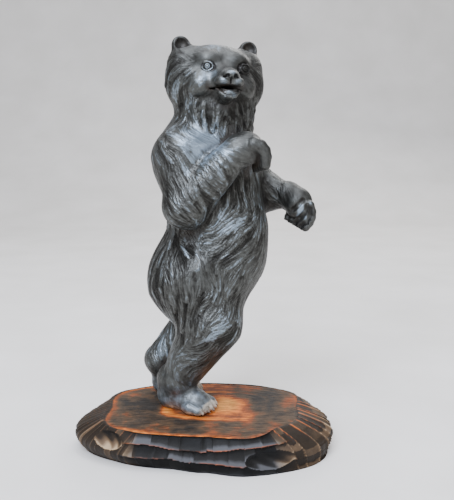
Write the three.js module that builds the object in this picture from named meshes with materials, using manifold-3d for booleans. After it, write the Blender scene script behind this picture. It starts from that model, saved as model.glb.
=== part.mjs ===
// A standing bear, cast in spelter, on a gouge-carved and scorched wooden plinth.
// Millimetres, +Z up. The origin is the middle of the plinth's underside. The plinth is long along X,
// its front is -Y, and the bear walks towards +X with its head turned to the front.

import * as THREE from "three";
import Module from "manifold-3d";

const wasm = await Module();
wasm.setup();

// Driving dimensions
const BEAR_HEIGHT = 290; // soles to the top of the ears
const PLINTH_LENGTH = 210;
const PLINTH_DEPTH = 118;
const PLINTH_THICKNESS = 29;
const BEAR_LEFT_OF_MIDDLE = 4; // the bear's own origin, from the middle of the plinth
const BEAR_BEHIND_MIDDLE = 26;
const GOUGE_STROKE = 19; // length of one cut of the carver's gouge along the front and back
const GOUGE_DEPTH = 3.4; // how far a cut sinks below the ridges beside it
const GROOVE_WIDTH = 12; // the grooves that run down the two ends, ridge to ridge

// The figure keeps its proportions as hundredths of its height: every point and radius below, down to
// the plinth, is in those units, from an origin on the plinth's top between the feet.
const UNIT = BEAR_HEIGHT / 100;
const PITCH = 0.95; // spacing of the grid on which the figure's skin is found
const FIGURE_TRIANGLES = 8200;
const REACH = { low: [-19, -23, -3], high: [35, 20, 103] };

const at = (x, y, z) => new THREE.Vector3(x, y, z);
const up = at(0, 0, 1);
const heading = (degrees) => {
  const a = THREE.MathUtils.degToRad(degrees); // 0 faces the front, 90 faces +X
  return at(Math.sin(a), -Math.cos(a), 0);
};

// Three unit axes, forward, left and up, of a mass that faces one way, nods and leans.
function facing(degrees, nod = 0, lean = 0) {
  const forward = heading(degrees);
  const left = up.clone().cross(forward);
  const top = up.clone();
  const turn = (a, b, angle) => {
    const r = THREE.MathUtils.degToRad(angle);
    const turned = a.clone().multiplyScalar(Math.cos(r)).addScaledVector(b, Math.sin(r));
    b.multiplyScalar(Math.cos(r)).addScaledVector(a, -Math.sin(r));
    a.copy(turned);
  };
  turn(forward, top, nod);
  turn(left, top, lean);
  return [forward, left, top];
}

const TORSO = facing(62);
const HEAD_TURN = 15; // degrees, from the front
const HEAD = facing(HEAD_TURN, 4, -2.5);
const HEAD_MIDDLE = at(4.4, -1.5, 88.6);

// A point of the head, given forward, to the bear's left and up from the head's middle.
const onHead = (forward, left, rise) =>
  HEAD_MIDDLE.clone()
    .addScaledVector(HEAD[0], forward)
    .addScaledVector(HEAD[1], left)
    .addScaledVector(HEAD[2], rise);

// Distance from a point to a ball that is stretched along three axes.
function eggDistance(p, egg) {
  const dx = p.x - egg.middle.x;
  const dy = p.y - egg.middle.y;
  const dz = p.z - egg.middle.z;
  let inside = 0;
  let slope = 0;
  for (let i = 0; i < 3; i += 1) {
    const axis = egg.axes[i];
    const along = (dx * axis.x + dy * axis.y + dz * axis.z) / egg.radii[i];
    inside += along * along;
    slope += (along / egg.radii[i]) ** 2;
  }
  inside = Math.sqrt(inside);
  return (inside * (inside - 1)) / Math.max(Math.sqrt(slope), 1e-9);
}

// Distance from a point to a round cone, the skin over two balls of different size.
function coneDistance(p, cone) {
  const { from, span, length2, fromRadius, toRadius } = cone;
  const px = p.x - from.x;
  const py = p.y - from.y;
  const pz = p.z - from.z;
  const shrink = fromRadius - toRadius;
  const slant = length2 - shrink * shrink;
  const y = px * span.x + py * span.y + pz * span.z;
  const z = y - length2;
  const x2 =
    (px * length2 - y * span.x) ** 2 + (py * length2 - y * span.y) ** 2 + (pz * length2 - y * span.z) ** 2;
  const y2 = y * y * length2;
  const z2 = z * z * length2;
  const limit = Math.sign(shrink) * shrink * shrink * x2;
  if (Math.sign(z) * slant * z2 > limit) return Math.sqrt(x2 + z2) / length2 - toRadius;
  if (Math.sign(y) * slant * y2 < limit) return Math.sqrt(x2 + y2) / length2 - fromRadius;
  return (Math.sqrt((x2 * slant) / length2) + y * shrink) / length2 - fromRadius;
}

// The clay: masses are laid on or cut out in turn, each blended over a small width.
const clay = [];

function egg(middle, radii, axes, blend, cuts = false) {
  const reach = Math.max(...radii);
  clay.push({ distance: eggDistance, middle, radii, axes, blend, cuts, reach });
}

function cone(from, to, fromRadius, toRadius, blend) {
  const span = to.clone().sub(from);
  const middle = from.clone().addScaledVector(span, 0.5);
  const reach = span.length() / 2 + Math.max(fromRadius, toRadius);
  const length2 = span.lengthSq();
  clay.push({ distance: coneDistance, from, span, length2, fromRadius, toRadius, blend, middle, reach });
}

// A bent limb, such as a finger: round cones along the curve from one point past a second to a third.
function bentCone(from, past, to, fromRadius, toRadius, blend) {
  const curve = new THREE.QuadraticBezierCurve3(from, past, to);
  const steps = 3;
  const radius = (t) => THREE.MathUtils.lerp(fromRadius, toRadius, t);
  for (let i = 0; i < steps; i += 1) {
    const [a, b] = [i / steps, (i + 1) / steps];
    cone(curve.getPoint(a), curve.getPoint(b), radius(a), radius(b), blend);
  }
}

// Where a point lies in the clay: below 0 inside, above 0 outside.
function clayDistance(p) {
  let d = 1e3;
  for (const mass of clay) {
    const gap = Math.hypot(p.x - mass.middle.x, p.y - mass.middle.y, p.z - mass.middle.z) - mass.reach;
    if (mass.cuts ? gap > mass.blend : gap > Math.max(d, 0) + mass.blend && gap > d + mass.blend) continue;
    const e = mass.distance(p, mass);
    const k = mass.blend;
    if (mass.cuts) {
      const h = THREE.MathUtils.clamp(0.5 - (0.5 * (d + e)) / k, 0, 1);
      d = d * (1 - h) - e * h + k * h * (1 - h);
    } else {
      const h = THREE.MathUtils.clamp(0.5 + (0.5 * (e - d)) / k, 0, 1);
      d = e * (1 - h) + d * h - k * h * (1 - h);
    }
  }
  return d;
}

function layTorso() {
  egg(at(3.0, 0, 64), [13.4, 12.4, 15], TORSO, 1); // rib cage
  egg(at(-1.9, -0.5, 67.6), [10, 12.2, 10], TORSO, 5); // shoulder hump
  egg(at(4.9, 0, 48.5), [14.4, 12.8, 15], TORSO, 6); // belly
  egg(at(3.4, 0, 39.5), [14.6, 12.6, 10], TORSO, 5); // lower belly
  egg(at(-0.4, 0, 35), [14.3, 13.1, 13], TORSO, 5); // hips and rump
  cone(at(2.9, 0.4, 74), at(4.2, -0.3, 85), 10.4, 9.2, 5); // neck
}

function layHead() {
  egg(HEAD_MIDDLE, [10.2, 11.4, 8.6], HEAD, 3);
  egg(onHead(-0.8, 0, 3), [8.4, 11.4, 5.8], HEAD, 2); // broad crown
  for (const side of [1, -1]) {
    egg(onHead(-1, side * 8.2, 4.3), [5, 4.3, 4.2], HEAD, 2.5); // corner below the ear
    egg(onHead(-0.6, side * 7.2, -1.2), [6.4, 6, 6.6], HEAD, 3); // cheek
    egg(onHead(6.4, side * 3.6, 4.2), [3.2, 3, 2], HEAD, 2); // brow
    egg(onHead(7.2, side * 5.4, -2.4), [3.2, 3.2, 3], HEAD, 2); // cheekbone
  }
  cone(onHead(6.5, 0, -1), onHead(13.2, 0.1, -1.7), 5, 3.1, 1.8); // muzzle
  egg(onHead(15.6, 0.1, -0.8), [1.9, 1.95, 1.15], HEAD, 0.45); // nose
  for (const side of [1, -1]) {
    egg(onHead(13.9, side * 1.7 + 0.1, -2.2), [2.9, 2, 1.3], HEAD, 0.4); // upper lip
  }
  cone(onHead(5, 0, -4.8), onHead(12, 0.2, -5), 4.2, 1.8, 1.6); // lower jaw
  egg(onHead(13, 0, -4.8), [3, 2.4, 1.5], HEAD, 0.5); // lower lip and tongue
  egg(onHead(13.4, 0.1, -3.6), [5.2, 4.2, 0.5], HEAD, 0.3, true); // mouth
  for (const side of [1, -1]) {
    egg(onHead(10.1, side * 4.7 + 0.5, 2), [1.5, 1.6, 1.25], HEAD, 0.7, true); // eye socket
    egg(onHead(8.7, side * 4.7 + 0.5, 2), [1.2, 1.2, 1.2], HEAD, 0.15); // eyeball
    egg(onHead(-1.2, side * 9.2, 8.7), [1.9, 2.5, 2.4], HEAD, 1.3); // ear
    egg(onHead(0.7, side * 9.2, 8.9), [2, 1.6, 1.5], HEAD, 0.4, true); // hollow of the ear
  }
}

// The ruff: pointed locks that hang over the neck in two layers, from behind each cheek to the throat.
function layRuff() {
  const layers = [
    { locks: 9, rise: [-0.5, -6.4], out: [11, 9.6], drop: 6, size: 1.5 },
    { locks: 10, rise: [-4.5, -9.4], out: [10.4, 8.9], drop: 6.5, size: 1.3 },
  ];
  const [behindCheek, throat] = [115, 8]; // degrees round from the way the head faces
  for (const { locks, rise, out, drop, size } of layers) {
    for (const side of [1, -1]) {
      for (let i = 0; i < locks; i += 1) {
        const t = i / (locks - 1);
        const uneven = Math.sin(7.3 * i + locks + side);
        const outwards = heading(HEAD_TURN + side * THREE.MathUtils.lerp(behindCheek, throat, t));
        const reach = THREE.MathUtils.lerp(...out, t);
        const root = HEAD_MIDDLE.clone().addScaledVector(outwards, reach - size);
        root.addScaledVector(up, THREE.MathUtils.lerp(...rise, t));
        const hang = drop * (1 + 0.3 * uneven);
        const tip = root.clone().addScaledVector(outwards, size * 0.8).addScaledVector(up, -hang);
        cone(root, tip, size, 0.4, 0.6);
      }
    }
  }
}

// A forepaw: five curled fingers side by side, each with a claw. Roots step along spread.
function layPaw(root, spread, { knuckle, tip, claw }) {
  const fingers = 5;
  for (let i = 0; i < fingers; i += 1) {
    const from = root.clone().addScaledVector(spread, i - (fingers - 1) / 2);
    const to = from.clone().add(tip);
    bentCone(from, from.clone().add(knuckle), to, 2.0, 1.3, 0.5);
    cone(to, to.clone().addScaledVector(claw, 0.8), 0.8, 0.35, 0.25);
  }
}

function layArms() {
  cone(at(-4.1, -8.4, 68.4), at(-2.8, -12, 57), 7.9, 5.8, 3); // right upper arm
  cone(at(-3.2, -12.8, 56.4), at(9.9, -14.8, 70.4), 6, 4, 1.5); // right forearm, across the chest
  egg(at(12.2, -14.4, 71.2), [4.6, 4.2, 4.3], TORSO, 1.5);
  const raised = { knuckle: at(3.5, 0.2, -0.5), tip: at(2.9, 0.4, -4.9), claw: at(-1.1, 0.2, -1.6) };
  layPaw(at(13.2, -14.6, 71.6), at(0.5, -1.4, 0.25), raised);
  cone(at(8, 8.5, 65.8), at(17.2, 6.6, 58.6), 7.8, 6.4, 3); // left upper arm
  cone(at(17.2, 6.6, 58.4), at(24.4, 2.4, 57.8), 6.2, 4.1, 1.5); // left forearm, held out
  egg(at(27.2, -0.2, 55.9), [3.8, 4.2, 4.4], TORSO, 1.5);
  const lowered = { knuckle: at(1.4, -0.3, -3), tip: at(-0.6, -0.5, -5.4), claw: at(-1.9, -0.1, -0.9) };
  layPaw(at(27.4, -0.6, 56.2), at(1.05, -1, -0.55), lowered);
}

// A hind foot, flat on the plinth, from the heel towards the toes, as a share of the near foot's size.
function layFoot(heel, degrees, share) {
  const forward = heading(degrees);
  const left = up.clone().cross(forward);
  const point = (ahead, aside, rise) =>
    heel
      .clone()
      .addScaledVector(forward, ahead * share)
      .addScaledVector(left, aside * share)
      .addScaledVector(up, rise * share);
  cone(point(0, 0, 7.5), point(0, 0, 3.8), 4.4 * share, 4 * share, 1.5); // heel
  cone(point(0, 0, 3.4), point(7.4, 0, 2.6), 4 * share, 3.4 * share, 1.5); // instep
  const ball = [4, 5, 2.6].map((r) => r * share);
  egg(point(7.6, 0, 1.6), ball, [forward, left, up], 1);
  const toes = 5;
  for (let i = 0; i < toes; i += 1) {
    const aside = i - (toes - 1) / 2;
    const ahead = 10.4 - 0.28 * aside * aside;
    cone(
      point(ahead - 1.8, aside * 1.95, 2.1),
      point(ahead + 0.9, aside * 1.95, 1.5),
      1.5 * share,
      1.25 * share,
      0.5,
    );
    // the claw
    cone(point(ahead + 1.7, aside * 1.95, 1.7), point(ahead + 2.6, aside * 1.95, 0.9), 0.62, 0.36, 0.2);
  }
}

function layLegs() {
  cone(at(-1, -6.5, 33), at(2.7, -9.2, 24.6), 11.1, 8.3, 3); // right thigh
  cone(at(2.9, -9.2, 23.4), at(-5.8, -7.8, 8.2), 8.6, 5.3, 2); // right shank
  layFoot(at(-7.6, -6.9, 0), 63, 1);
  cone(at(3.2, 6, 33), at(0.9, 6, 23), 10.8, 7.8, 3); // left thigh
  cone(at(0.6, 5.8, 22.4), at(-12, 4.2, 9.6), 7.4, 4.8, 2); // left shank
  layFoot(at(-10.8, 3.7, 0), 82, 0.86);
}

// How the fur lies: places on the body and the way the hair points there.
const LIE = [
  [at(4, -10, 77), at(-0.1, -0.1, -1)], // throat
  [at(-6, -10, 71), at(-0.8, -0.1, -0.5)], // right shoulder
  [at(-7, -16, 62), at(-0.2, -0.1, -1)], // right upper arm
  [at(-4, -18, 54), at(0.4, -0.1, -0.8)], // right elbow
  [at(5, -18, 64), at(0.5, 0, -0.85)], // right forearm
  [at(12, -9, 61), at(0.1, 0, -1)], // chest, under the raised paw
  [at(10, -12, 51), at(-0.8, -0.1, -0.6)], // belly, right of its middle line
  [at(3, -13, 46), at(-0.95, 0, -0.25)],
  [at(21, -2, 50), at(0.1, -0.1, -1)], // belly, middle line
  [at(18, 10, 48), at(-0.5, 0.4, -0.7)],
  [at(-6, -13, 44), at(0.3, 0, -0.95)], // right flank
  [at(-14, -6, 38), at(-0.1, 0, -1)], // rump
  [at(-12, -8, 30), at(0.35, -0.1, -0.93)],
  [at(4, -18, 33), at(-0.5, 0, -0.87)], // right thigh
  [at(8, -17, 25), at(-0.85, 0, -0.5)], // right knee
  [at(-1, -14, 16), at(-0.9, 0, -0.42)], // right shank
  [at(-12, 4, 16), at(0.2, 0, -0.95)], // left shank
  [at(5, 14, 30), at(-0.5, 0.1, -0.85)], // left thigh
  [at(-14, 0, 62), at(0, 0, -1)], // back
  [at(-10, 10, 70), at(-0.3, 0.5, -0.8)],
  [at(-4, 13, 48), at(-0.2, 0.1, -0.97)], // left flank
  [at(12, 10, 64), at(0.5, 0.1, -0.8)], // left upper arm
  [at(21, 4, 62), at(0.6, -0.5, -0.5)], // left forearm
];

function lieOfFur(p) {
  const way = at(0, 0, 0);
  for (const [place, pointing] of LIE) way.addScaledVector(pointing, p.distanceTo(place) ** -3);
  return way.normalize();
}

const LOCK_RISE = 0.5; // how far the ridge of a lock stands above the skin

// Locks of fur in rows round a limb: each is a tapered ridge, laid the way the fur lies there.
function layLocks({ from, to, rows, around, length, size }) {
  const axis = to.clone().sub(from).normalize();
  const side = axis.clone().cross(at(0.3, -1, 0.1)).normalize();
  const front = axis.clone().cross(side);
  const ridges = [];
  for (let row = 0; row < rows; row += 1) {
    const start = from.clone().lerp(to, (row + 0.5) / rows);
    for (let i = 0; i < around; i += 1) {
      const angle = ((i + (row % 2) / 2) / around) * 2 * Math.PI;
      const out = side.clone().multiplyScalar(Math.cos(angle)).addScaledVector(front, Math.sin(angle));
      const root = firstSkin(start, out);
      if (!root) continue;
      const sunk = size - LOCK_RISE;
      const middle = onSkin(root.clone().addScaledVector(lieOfFur(root), length / 2), sunk);
      const tip = onSkin(middle.clone().addScaledVector(lieOfFur(middle), length / 2), sunk * 0.4);
      ridges.push([onSkin(root, sunk), middle, tip]);
    }
  }
  return ridges.flatMap(([root, middle, tip]) => [
    [root, middle, size * 0.7, size, size * 0.6],
    [middle, tip, size, size * 0.45, size * 0.6],
  ]);
}

// The first point of the skin outwards from a point inside, if it is near.
function firstSkin(base, out) {
  const farthest = 18;
  if (clayDistance(base) > 0) return null;
  const p = base.clone();
  for (let walked = 0; walked < farthest; ) {
    const d = clayDistance(p);
    if (d > -0.05) return p;
    const step = Math.max(-d, 0.1);
    p.addScaledVector(out, step);
    walked += step;
  }
  return null;
}

// A point moved along the skin's normal until it lies at a depth under the skin.
function onSkin(point, depth) {
  const p = point.clone();
  const h = 0.1;
  for (let i = 0; i < 3; i += 1) {
    const d = clayDistance(p);
    const slope = at(
      clayDistance(at(p.x + h, p.y, p.z)) - d,
      clayDistance(at(p.x, p.y + h, p.z)) - d,
      clayDistance(at(p.x, p.y, p.z + h)) - d,
    ).normalize();
    p.addScaledVector(slope, -(d + depth));
  }
  return p;
}

function layFur() {
  const limbs = [
    { from: at(3, 0, 80), to: at(3, 0, 60), rows: 4, around: 17, length: 6.5, size: 1.1 },
    { from: at(4, 0, 60), to: at(4, 0, 34), rows: 6, around: 17, length: 6.5, size: 1.1 },
    { from: at(-1, 0, 42), to: at(-1, 0, 22), rows: 4, around: 16, length: 6.5, size: 1.1 },
    { from: at(0, -9, 31), to: at(-4, -8, 11), rows: 5, around: 10, length: 6, size: 1 },
    { from: at(1, 6, 29), to: at(-10, 4.6, 12), rows: 4, around: 9, length: 6, size: 0.95 },
    { from: at(-4.8, -9, 69), to: at(-3.4, -12, 55), rows: 4, around: 11, length: 5.5, size: 1 },
    { from: at(7, -14.4, 67), to: at(-2, -12.9, 57.6), rows: 3, around: 9, length: 5, size: 0.9 },
    { from: at(9, 8.4, 65), to: at(22, 3.6, 58.2), rows: 4, around: 9, length: 5, size: 0.9 },
  ];
  const ridges = limbs.flatMap(layLocks);
  for (const ridge of ridges) cone(...ridge);
}

// The skin of the clay, found on a grid: each cell is six tetrahedra, and each of those that the skin
// crosses gives one or two triangles.
function skinOver(distance, low, high, pitch) {
  const counts = low.map((v, i) => Math.ceil((high[i] - v) / pitch) + 1);
  const strides = [counts[1] * counts[2], counts[2], 1];
  const value = new Float64Array(counts[0] * counts[1] * counts[2]);
  const gridPoint = (n) => [
    low[0] + pitch * Math.floor(n / strides[0]),
    low[1] + pitch * (Math.floor(n / strides[1]) % counts[1]),
    low[2] + pitch * (n % counts[2]),
  ];
  const block = 4; // grid steps: a block whose middle is far from the skin is all inside or all outside
  const far = 1.8 * (block / 2) * pitch * Math.sqrt(3);
  const middles = new Map();
  const blockMiddle = (point) => {
    const cell = point.map((v, i) => Math.floor((v - low[i]) / (block * pitch)));
    const key = cell.join();
    if (!middles.has(key)) {
      const middle = cell.map((v, i) => low[i] + (v + 0.5) * block * pitch);
      middles.set(key, distance(at(...middle)));
    }
    return middles.get(key);
  };
  for (let n = 0; n < value.length; n += 1) {
    const point = gridPoint(n);
    const rough = blockMiddle(point);
    value[n] = Math.abs(rough) > far ? rough : distance(at(...point));
  }
  const points = [];
  const faces = [];
  const vertexOf = new Map();
  const crossing = (inside, outside) => {
    const key = inside * value.length + outside;
    if (!vertexOf.has(key)) {
      const share = value[inside] / (value[inside] - value[outside]);
      const t = THREE.MathUtils.clamp(share, 0.08, 0.92); // no sliver at a grid point
      const [a, b] = [gridPoint(inside), gridPoint(outside)];
      points.push(a.map((v, i) => v + (b[i] - v) * t));
      vertexOf.set(key, points.length - 1);
    }
    return vertexOf.get(key);
  };
  const addFace = (face, inside, outside) => {
    const [a, b, c] = face.map((v) => at(...points[v]));
    const away = at(...gridPoint(outside)).sub(at(...gridPoint(inside)));
    const outwards = b.sub(a).cross(c.sub(a)).dot(away) > 0;
    faces.push(outwards ? face : [face[0], face[2], face[1]]);
  };
  const orders = [
    [0, 1, 2],
    [0, 2, 1],
    [1, 0, 2],
    [1, 2, 0],
    [2, 0, 1],
    [2, 1, 0],
  ];
  const paths = orders.map((order) => {
    const path = [0];
    for (const axis of order) path.push(path[path.length - 1] + strides[axis]);
    return path;
  });
  const farCorner = paths[0][3];
  for (let n = 0; n + farCorner < value.length; n += 1) {
    if (n % counts[2] === counts[2] - 1 || Math.floor(n / strides[1]) % counts[1] === counts[1] - 1) continue;
    for (const path of paths) {
      const inside = path.map((step) => n + step).filter((c) => value[c] < 0);
      const outside = path.map((step) => n + step).filter((c) => value[c] >= 0);
      if (inside.length === 1) {
        addFace(outside.map((o) => crossing(inside[0], o)), inside[0], outside[0]);
      } else if (inside.length === 3) {
        addFace(inside.map((i) => crossing(i, outside[0])), inside[0], outside[0]);
      } else if (inside.length === 2) {
        const [a, b] = inside;
        const [c, d] = outside;
        const quad = [crossing(a, c), crossing(a, d), crossing(b, d), crossing(b, c)];
        addFace([quad[0], quad[1], quad[2]], a, c);
        addFace([quad[0], quad[2], quad[3]], a, c);
      }
    }
  }
  return { points, faces };
}

// Fewer triangles for the same skin: the edge whose loss moves the skin least is closed up, again and again.
function simplified({ points, faces }, wanted) {
  const quadrics = points.map(() => new Float64Array(10));
  const around = points.map(() => new Set());
  const normalOf = (a, b, c) => {
    const [ux, uy, uz] = [b[0] - a[0], b[1] - a[1], b[2] - a[2]];
    const [vx, vy, vz] = [c[0] - a[0], c[1] - a[1], c[2] - a[2]];
    return [uy * vz - uz * vy, uz * vx - ux * vz, ux * vy - uy * vx];
  };
  faces.forEach((face, f) => {
    const [a, b, c] = face.map((v) => points[v]);
    const n = normalOf(a, b, c);
    const size = Math.hypot(...n) || 1e-12;
    const [x, y, z] = n.map((v) => v / size);
    const w = -(x * a[0] + y * a[1] + z * a[2]);
    const plane = [x * x, x * y, x * z, x * w, y * y, y * z, y * w, z * z, z * w, w * w];
    for (const v of face) {
      around[v].add(f);
      plane.forEach((q, i) => {
        quadrics[v][i] += q * size;
      });
    }
  });
  const costOf = (q, [x, y, z]) =>
    q[0] * x * x + 2 * q[1] * x * y + 2 * q[2] * x * z + 2 * q[3] * x + q[4] * y * y +
    2 * q[5] * y * z + 2 * q[6] * y + q[7] * z * z + 2 * q[8] * z + q[9];
  const best = (a, b) => {
    const q = quadrics[a].map((v, i) => v + quadrics[b][i]);
    const [pa, pb] = [points[a], points[b]];
    const choices = [pa, pb, pa.map((v, i) => (v + pb[i]) / 2)];
    const m = new THREE.Matrix3().set(q[0], q[1], q[2], q[1], q[4], q[5], q[2], q[5], q[7]);
    if (Math.abs(m.determinant()) > 1e-7) {
      const p = at(-q[3], -q[6], -q[8]).applyMatrix3(m.invert());
      const edge = Math.hypot(...pa.map((v, i) => v - pb[i]));
      if (p.distanceTo(at(...choices[2])) < 1.5 * edge) choices.push([p.x, p.y, p.z]);
    }
    let cheapest = { cost: Infinity, place: null };
    for (const place of choices) {
      const cost = costOf(q, place);
      if (cost < cheapest.cost) cheapest = { cost, place };
    }
    return cheapest;
  };
  const heap = [];
  const swap = (i, j) => {
    [heap[i], heap[j]] = [heap[j], heap[i]];
  };
  const push = (entry) => {
    heap.push(entry);
    for (let i = heap.length - 1; i > 0; ) {
      const parent = (i - 1) >> 1;
      if (heap[parent].cost <= heap[i].cost) break;
      swap(i, parent);
      i = parent;
    }
  };
  const pop = () => {
    swap(0, heap.length - 1);
    const top = heap.pop();
    for (let i = 0; ; ) {
      let least = i;
      for (const child of [2 * i + 1, 2 * i + 2])
        if (child < heap.length && heap[child].cost < heap[least].cost) least = child;
      if (least === i) return top;
      swap(i, least);
      i = least;
    }
  };
  const age = new Int32Array(points.length);
  const neighbours = (v) => {
    const found = new Set();
    for (const f of around[v]) for (const o of faces[f]) if (o !== v) found.add(o);
    return found;
  };
  const offer = (a, b) => push({ a, b, ages: [age[a], age[b]], ...best(a, b) });
  points.forEach((_, a) => {
    for (const b of neighbours(a)) if (a < b) offer(a, b);
  });
  const turnsOver = (v, other, place) => {
    for (const f of around[v]) {
      if (faces[f].includes(other)) continue;
      const before = normalOf(...faces[f].map((o) => points[o]));
      const after = normalOf(...faces[f].map((o) => (o === v ? place : points[o])));
      const dot = before[0] * after[0] + before[1] * after[1] + before[2] * after[2];
      if (dot <= 0.2 * Math.hypot(...before) * Math.hypot(...after)) return true;
    }
    return false;
  };
  let left = faces.length;
  while (left > wanted && heap.length) {
    const { a, b, ages, place } = pop();
    if (age[a] !== ages[0] || age[b] !== ages[1] || age[a] < 0 || age[b] < 0) continue;
    const near = neighbours(a);
    const shared = [...neighbours(b)].filter((v) => near.has(v));
    if (shared.length !== 2 || turnsOver(a, b, place) || turnsOver(b, a, place)) continue;
    for (const f of [...around[b]]) {
      if (faces[f].includes(a)) {
        for (const v of faces[f]) around[v].delete(f);
        faces[f] = null;
        left -= 1;
      } else {
        faces[f] = faces[f].map((v) => (v === b ? a : v));
        around[a].add(f);
      }
    }
    quadrics[a] = quadrics[a].map((v, i) => v + quadrics[b][i]);
    points[a] = place;
    age[b] = -1;
    age[a] += 1;
    for (const v of neighbours(a)) offer(Math.min(a, v), Math.max(a, v));
  }
  const kept = new Map();
  const keptPoints = [];
  const keptFaces = faces.filter(Boolean).map((face) =>
    face.map((v) => {
      if (!kept.has(v)) {
        kept.set(v, keptPoints.length);
        keptPoints.push(points[v]);
      }
      return kept.get(v);
    }),
  );
  return { points: keptPoints, faces: keptFaces };
}

function geometryOf({ points, faces }) {
  const geometry = new THREE.BufferGeometry();
  geometry.setAttribute("position", new THREE.Float32BufferAttribute(points.flat(), 3));
  geometry.setIndex(faces.flat());
  return geometry;
}

function solidOf({ points, faces }) {
  return new wasm.Manifold(
    new wasm.Mesh({
      numProp: 3,
      vertProperties: new Float32Array(points.flat()),
      triVerts: new Uint32Array(faces.flat()),
    }),
  );
}

function meshOf(solid, name, material) {
  const { vertProperties, triVerts, numProp } = solid.getMesh();
  const points = [];
  for (let v = 0; v < vertProperties.length; v += numProp) {
    const [x, y, z] = vertProperties.slice(v, v + 3);
    const height = [0, PLINTH_THICKNESS].find((level) => Math.abs(z - level) < 1e-3) ?? z;
    points.push([x, y, height]);
  }
  const faces = [];
  for (let t = 0; t < triVerts.length; t += 3) faces.push(Array.from(triVerts.slice(t, t + 3)));
  const mesh = new THREE.Mesh(geometryOf({ points, faces }), material);
  mesh.name = name;
  return mesh;
}

// The figure, cut flat under its soles at the plinth's top.
function bear() {
  layTorso();
  layHead();
  layRuff();
  layArms();
  layLegs();
  layFur();
  const below = -1.2; // the clay is closed off here and cut flat above
  const skin = skinOver((p) => Math.max(clayDistance(p), below - p.z), REACH.low, REACH.high, PITCH);
  const cast = simplified(skin, FIGURE_TRIANGLES);
  cast.points = cast.points.map(([x, y, z]) => [
    x * UNIT - BEAR_LEFT_OF_MIDDLE,
    y * UNIT + BEAR_BEHIND_MIDDLE,
    z * UNIT + PLINTH_THICKNESS,
  ]);
  const past = 2 * PLINTH_LENGTH; // beyond the figure on every side
  const underSoles = boxSolid([-past, -past, -past], [past, past, PLINTH_THICKNESS]);
  const spelter = new THREE.MeshStandardMaterial({ color: 0x3d4248, roughness: 0.42, metalness: 0.85 });
  return meshOf(solidOf(cast).subtract(underSoles), "bear", spelter);
}

function boxSolid(low, high) {
  const corners = [0, 1, 2, 3, 4, 5, 6, 7].map((n) => [n & 1, (n >> 1) & 1, n >> 2]);
  const points = corners.map((c) => c.map((side, i) => (side ? high[i] : low[i])));
  const sides = [
    [0, 2, 3, 1],
    [4, 5, 7, 6],
    [0, 1, 5, 4],
    [2, 6, 7, 3],
    [0, 4, 6, 2],
    [1, 3, 7, 5],
  ];
  const faces = sides.flatMap(([a, b, c, d]) => [
    [a, b, c],
    [a, c, d],
  ]);
  return solidOf({ points, faces });
}

// The slab's outline at its foot, at its widest level and at the top, as shares of a blunt oval of the
// plinth's length and depth, every 30 degrees from the right end towards the back.
const OVAL_POWER = 2.4;
const LEVELS = [
  { height: 0, shares: [0.93, 0.9, 0.86, 0.86, 0.84, 0.82, 0.93, 0.81, 0.8, 0.88, 1, 0.99] },
  { height: 0.45, shares: [0.99, 1, 1, 0.98, 0.96, 0.9, 1, 0.93, 0.91, 0.96, 1.02, 1.01] },
  { height: 1, shares: [0.72, 0.87, 0.91, 0.93, 0.91, 0.87, 0.735, 0.87, 0.885, 0.91, 0.99, 0.79] },
];

function roundTheSlab(angle, rise) {
  const [c, s] = [Math.abs(Math.cos(angle)), Math.abs(Math.sin(angle))];
  const oval =
    ((c / (PLINTH_LENGTH / 2)) ** OVAL_POWER + (s / (PLINTH_DEPTH / 2)) ** OVAL_POWER) ** (-1 / OVAL_POWER);
  const shareAt = (shares) => {
    const turn = (angle / (2 * Math.PI)) * shares.length;
    const [i, t] = [Math.floor(turn), turn - Math.floor(turn)];
    const [a, b] = [shares[i % shares.length], shares[(i + 1) % shares.length]];
    return THREE.MathUtils.lerp(a, b, t * t * (3 - 2 * t));
  };
  const above = LEVELS.findIndex((level) => level.height >= rise && level.height > 0);
  const [low, high] = [LEVELS[above - 1], LEVELS[above]];
  const t = (rise - low.height) / (high.height - low.height);
  const quarterTurn = Math.PI / 2;
  const bulge = high.height === 1 ? 1 - Math.cos(t * quarterTurn) : Math.sin(t * quarterTurn);
  return oval * THREE.MathUtils.lerp(shareAt(low.shares), shareAt(high.shares), bulge);
}

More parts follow.
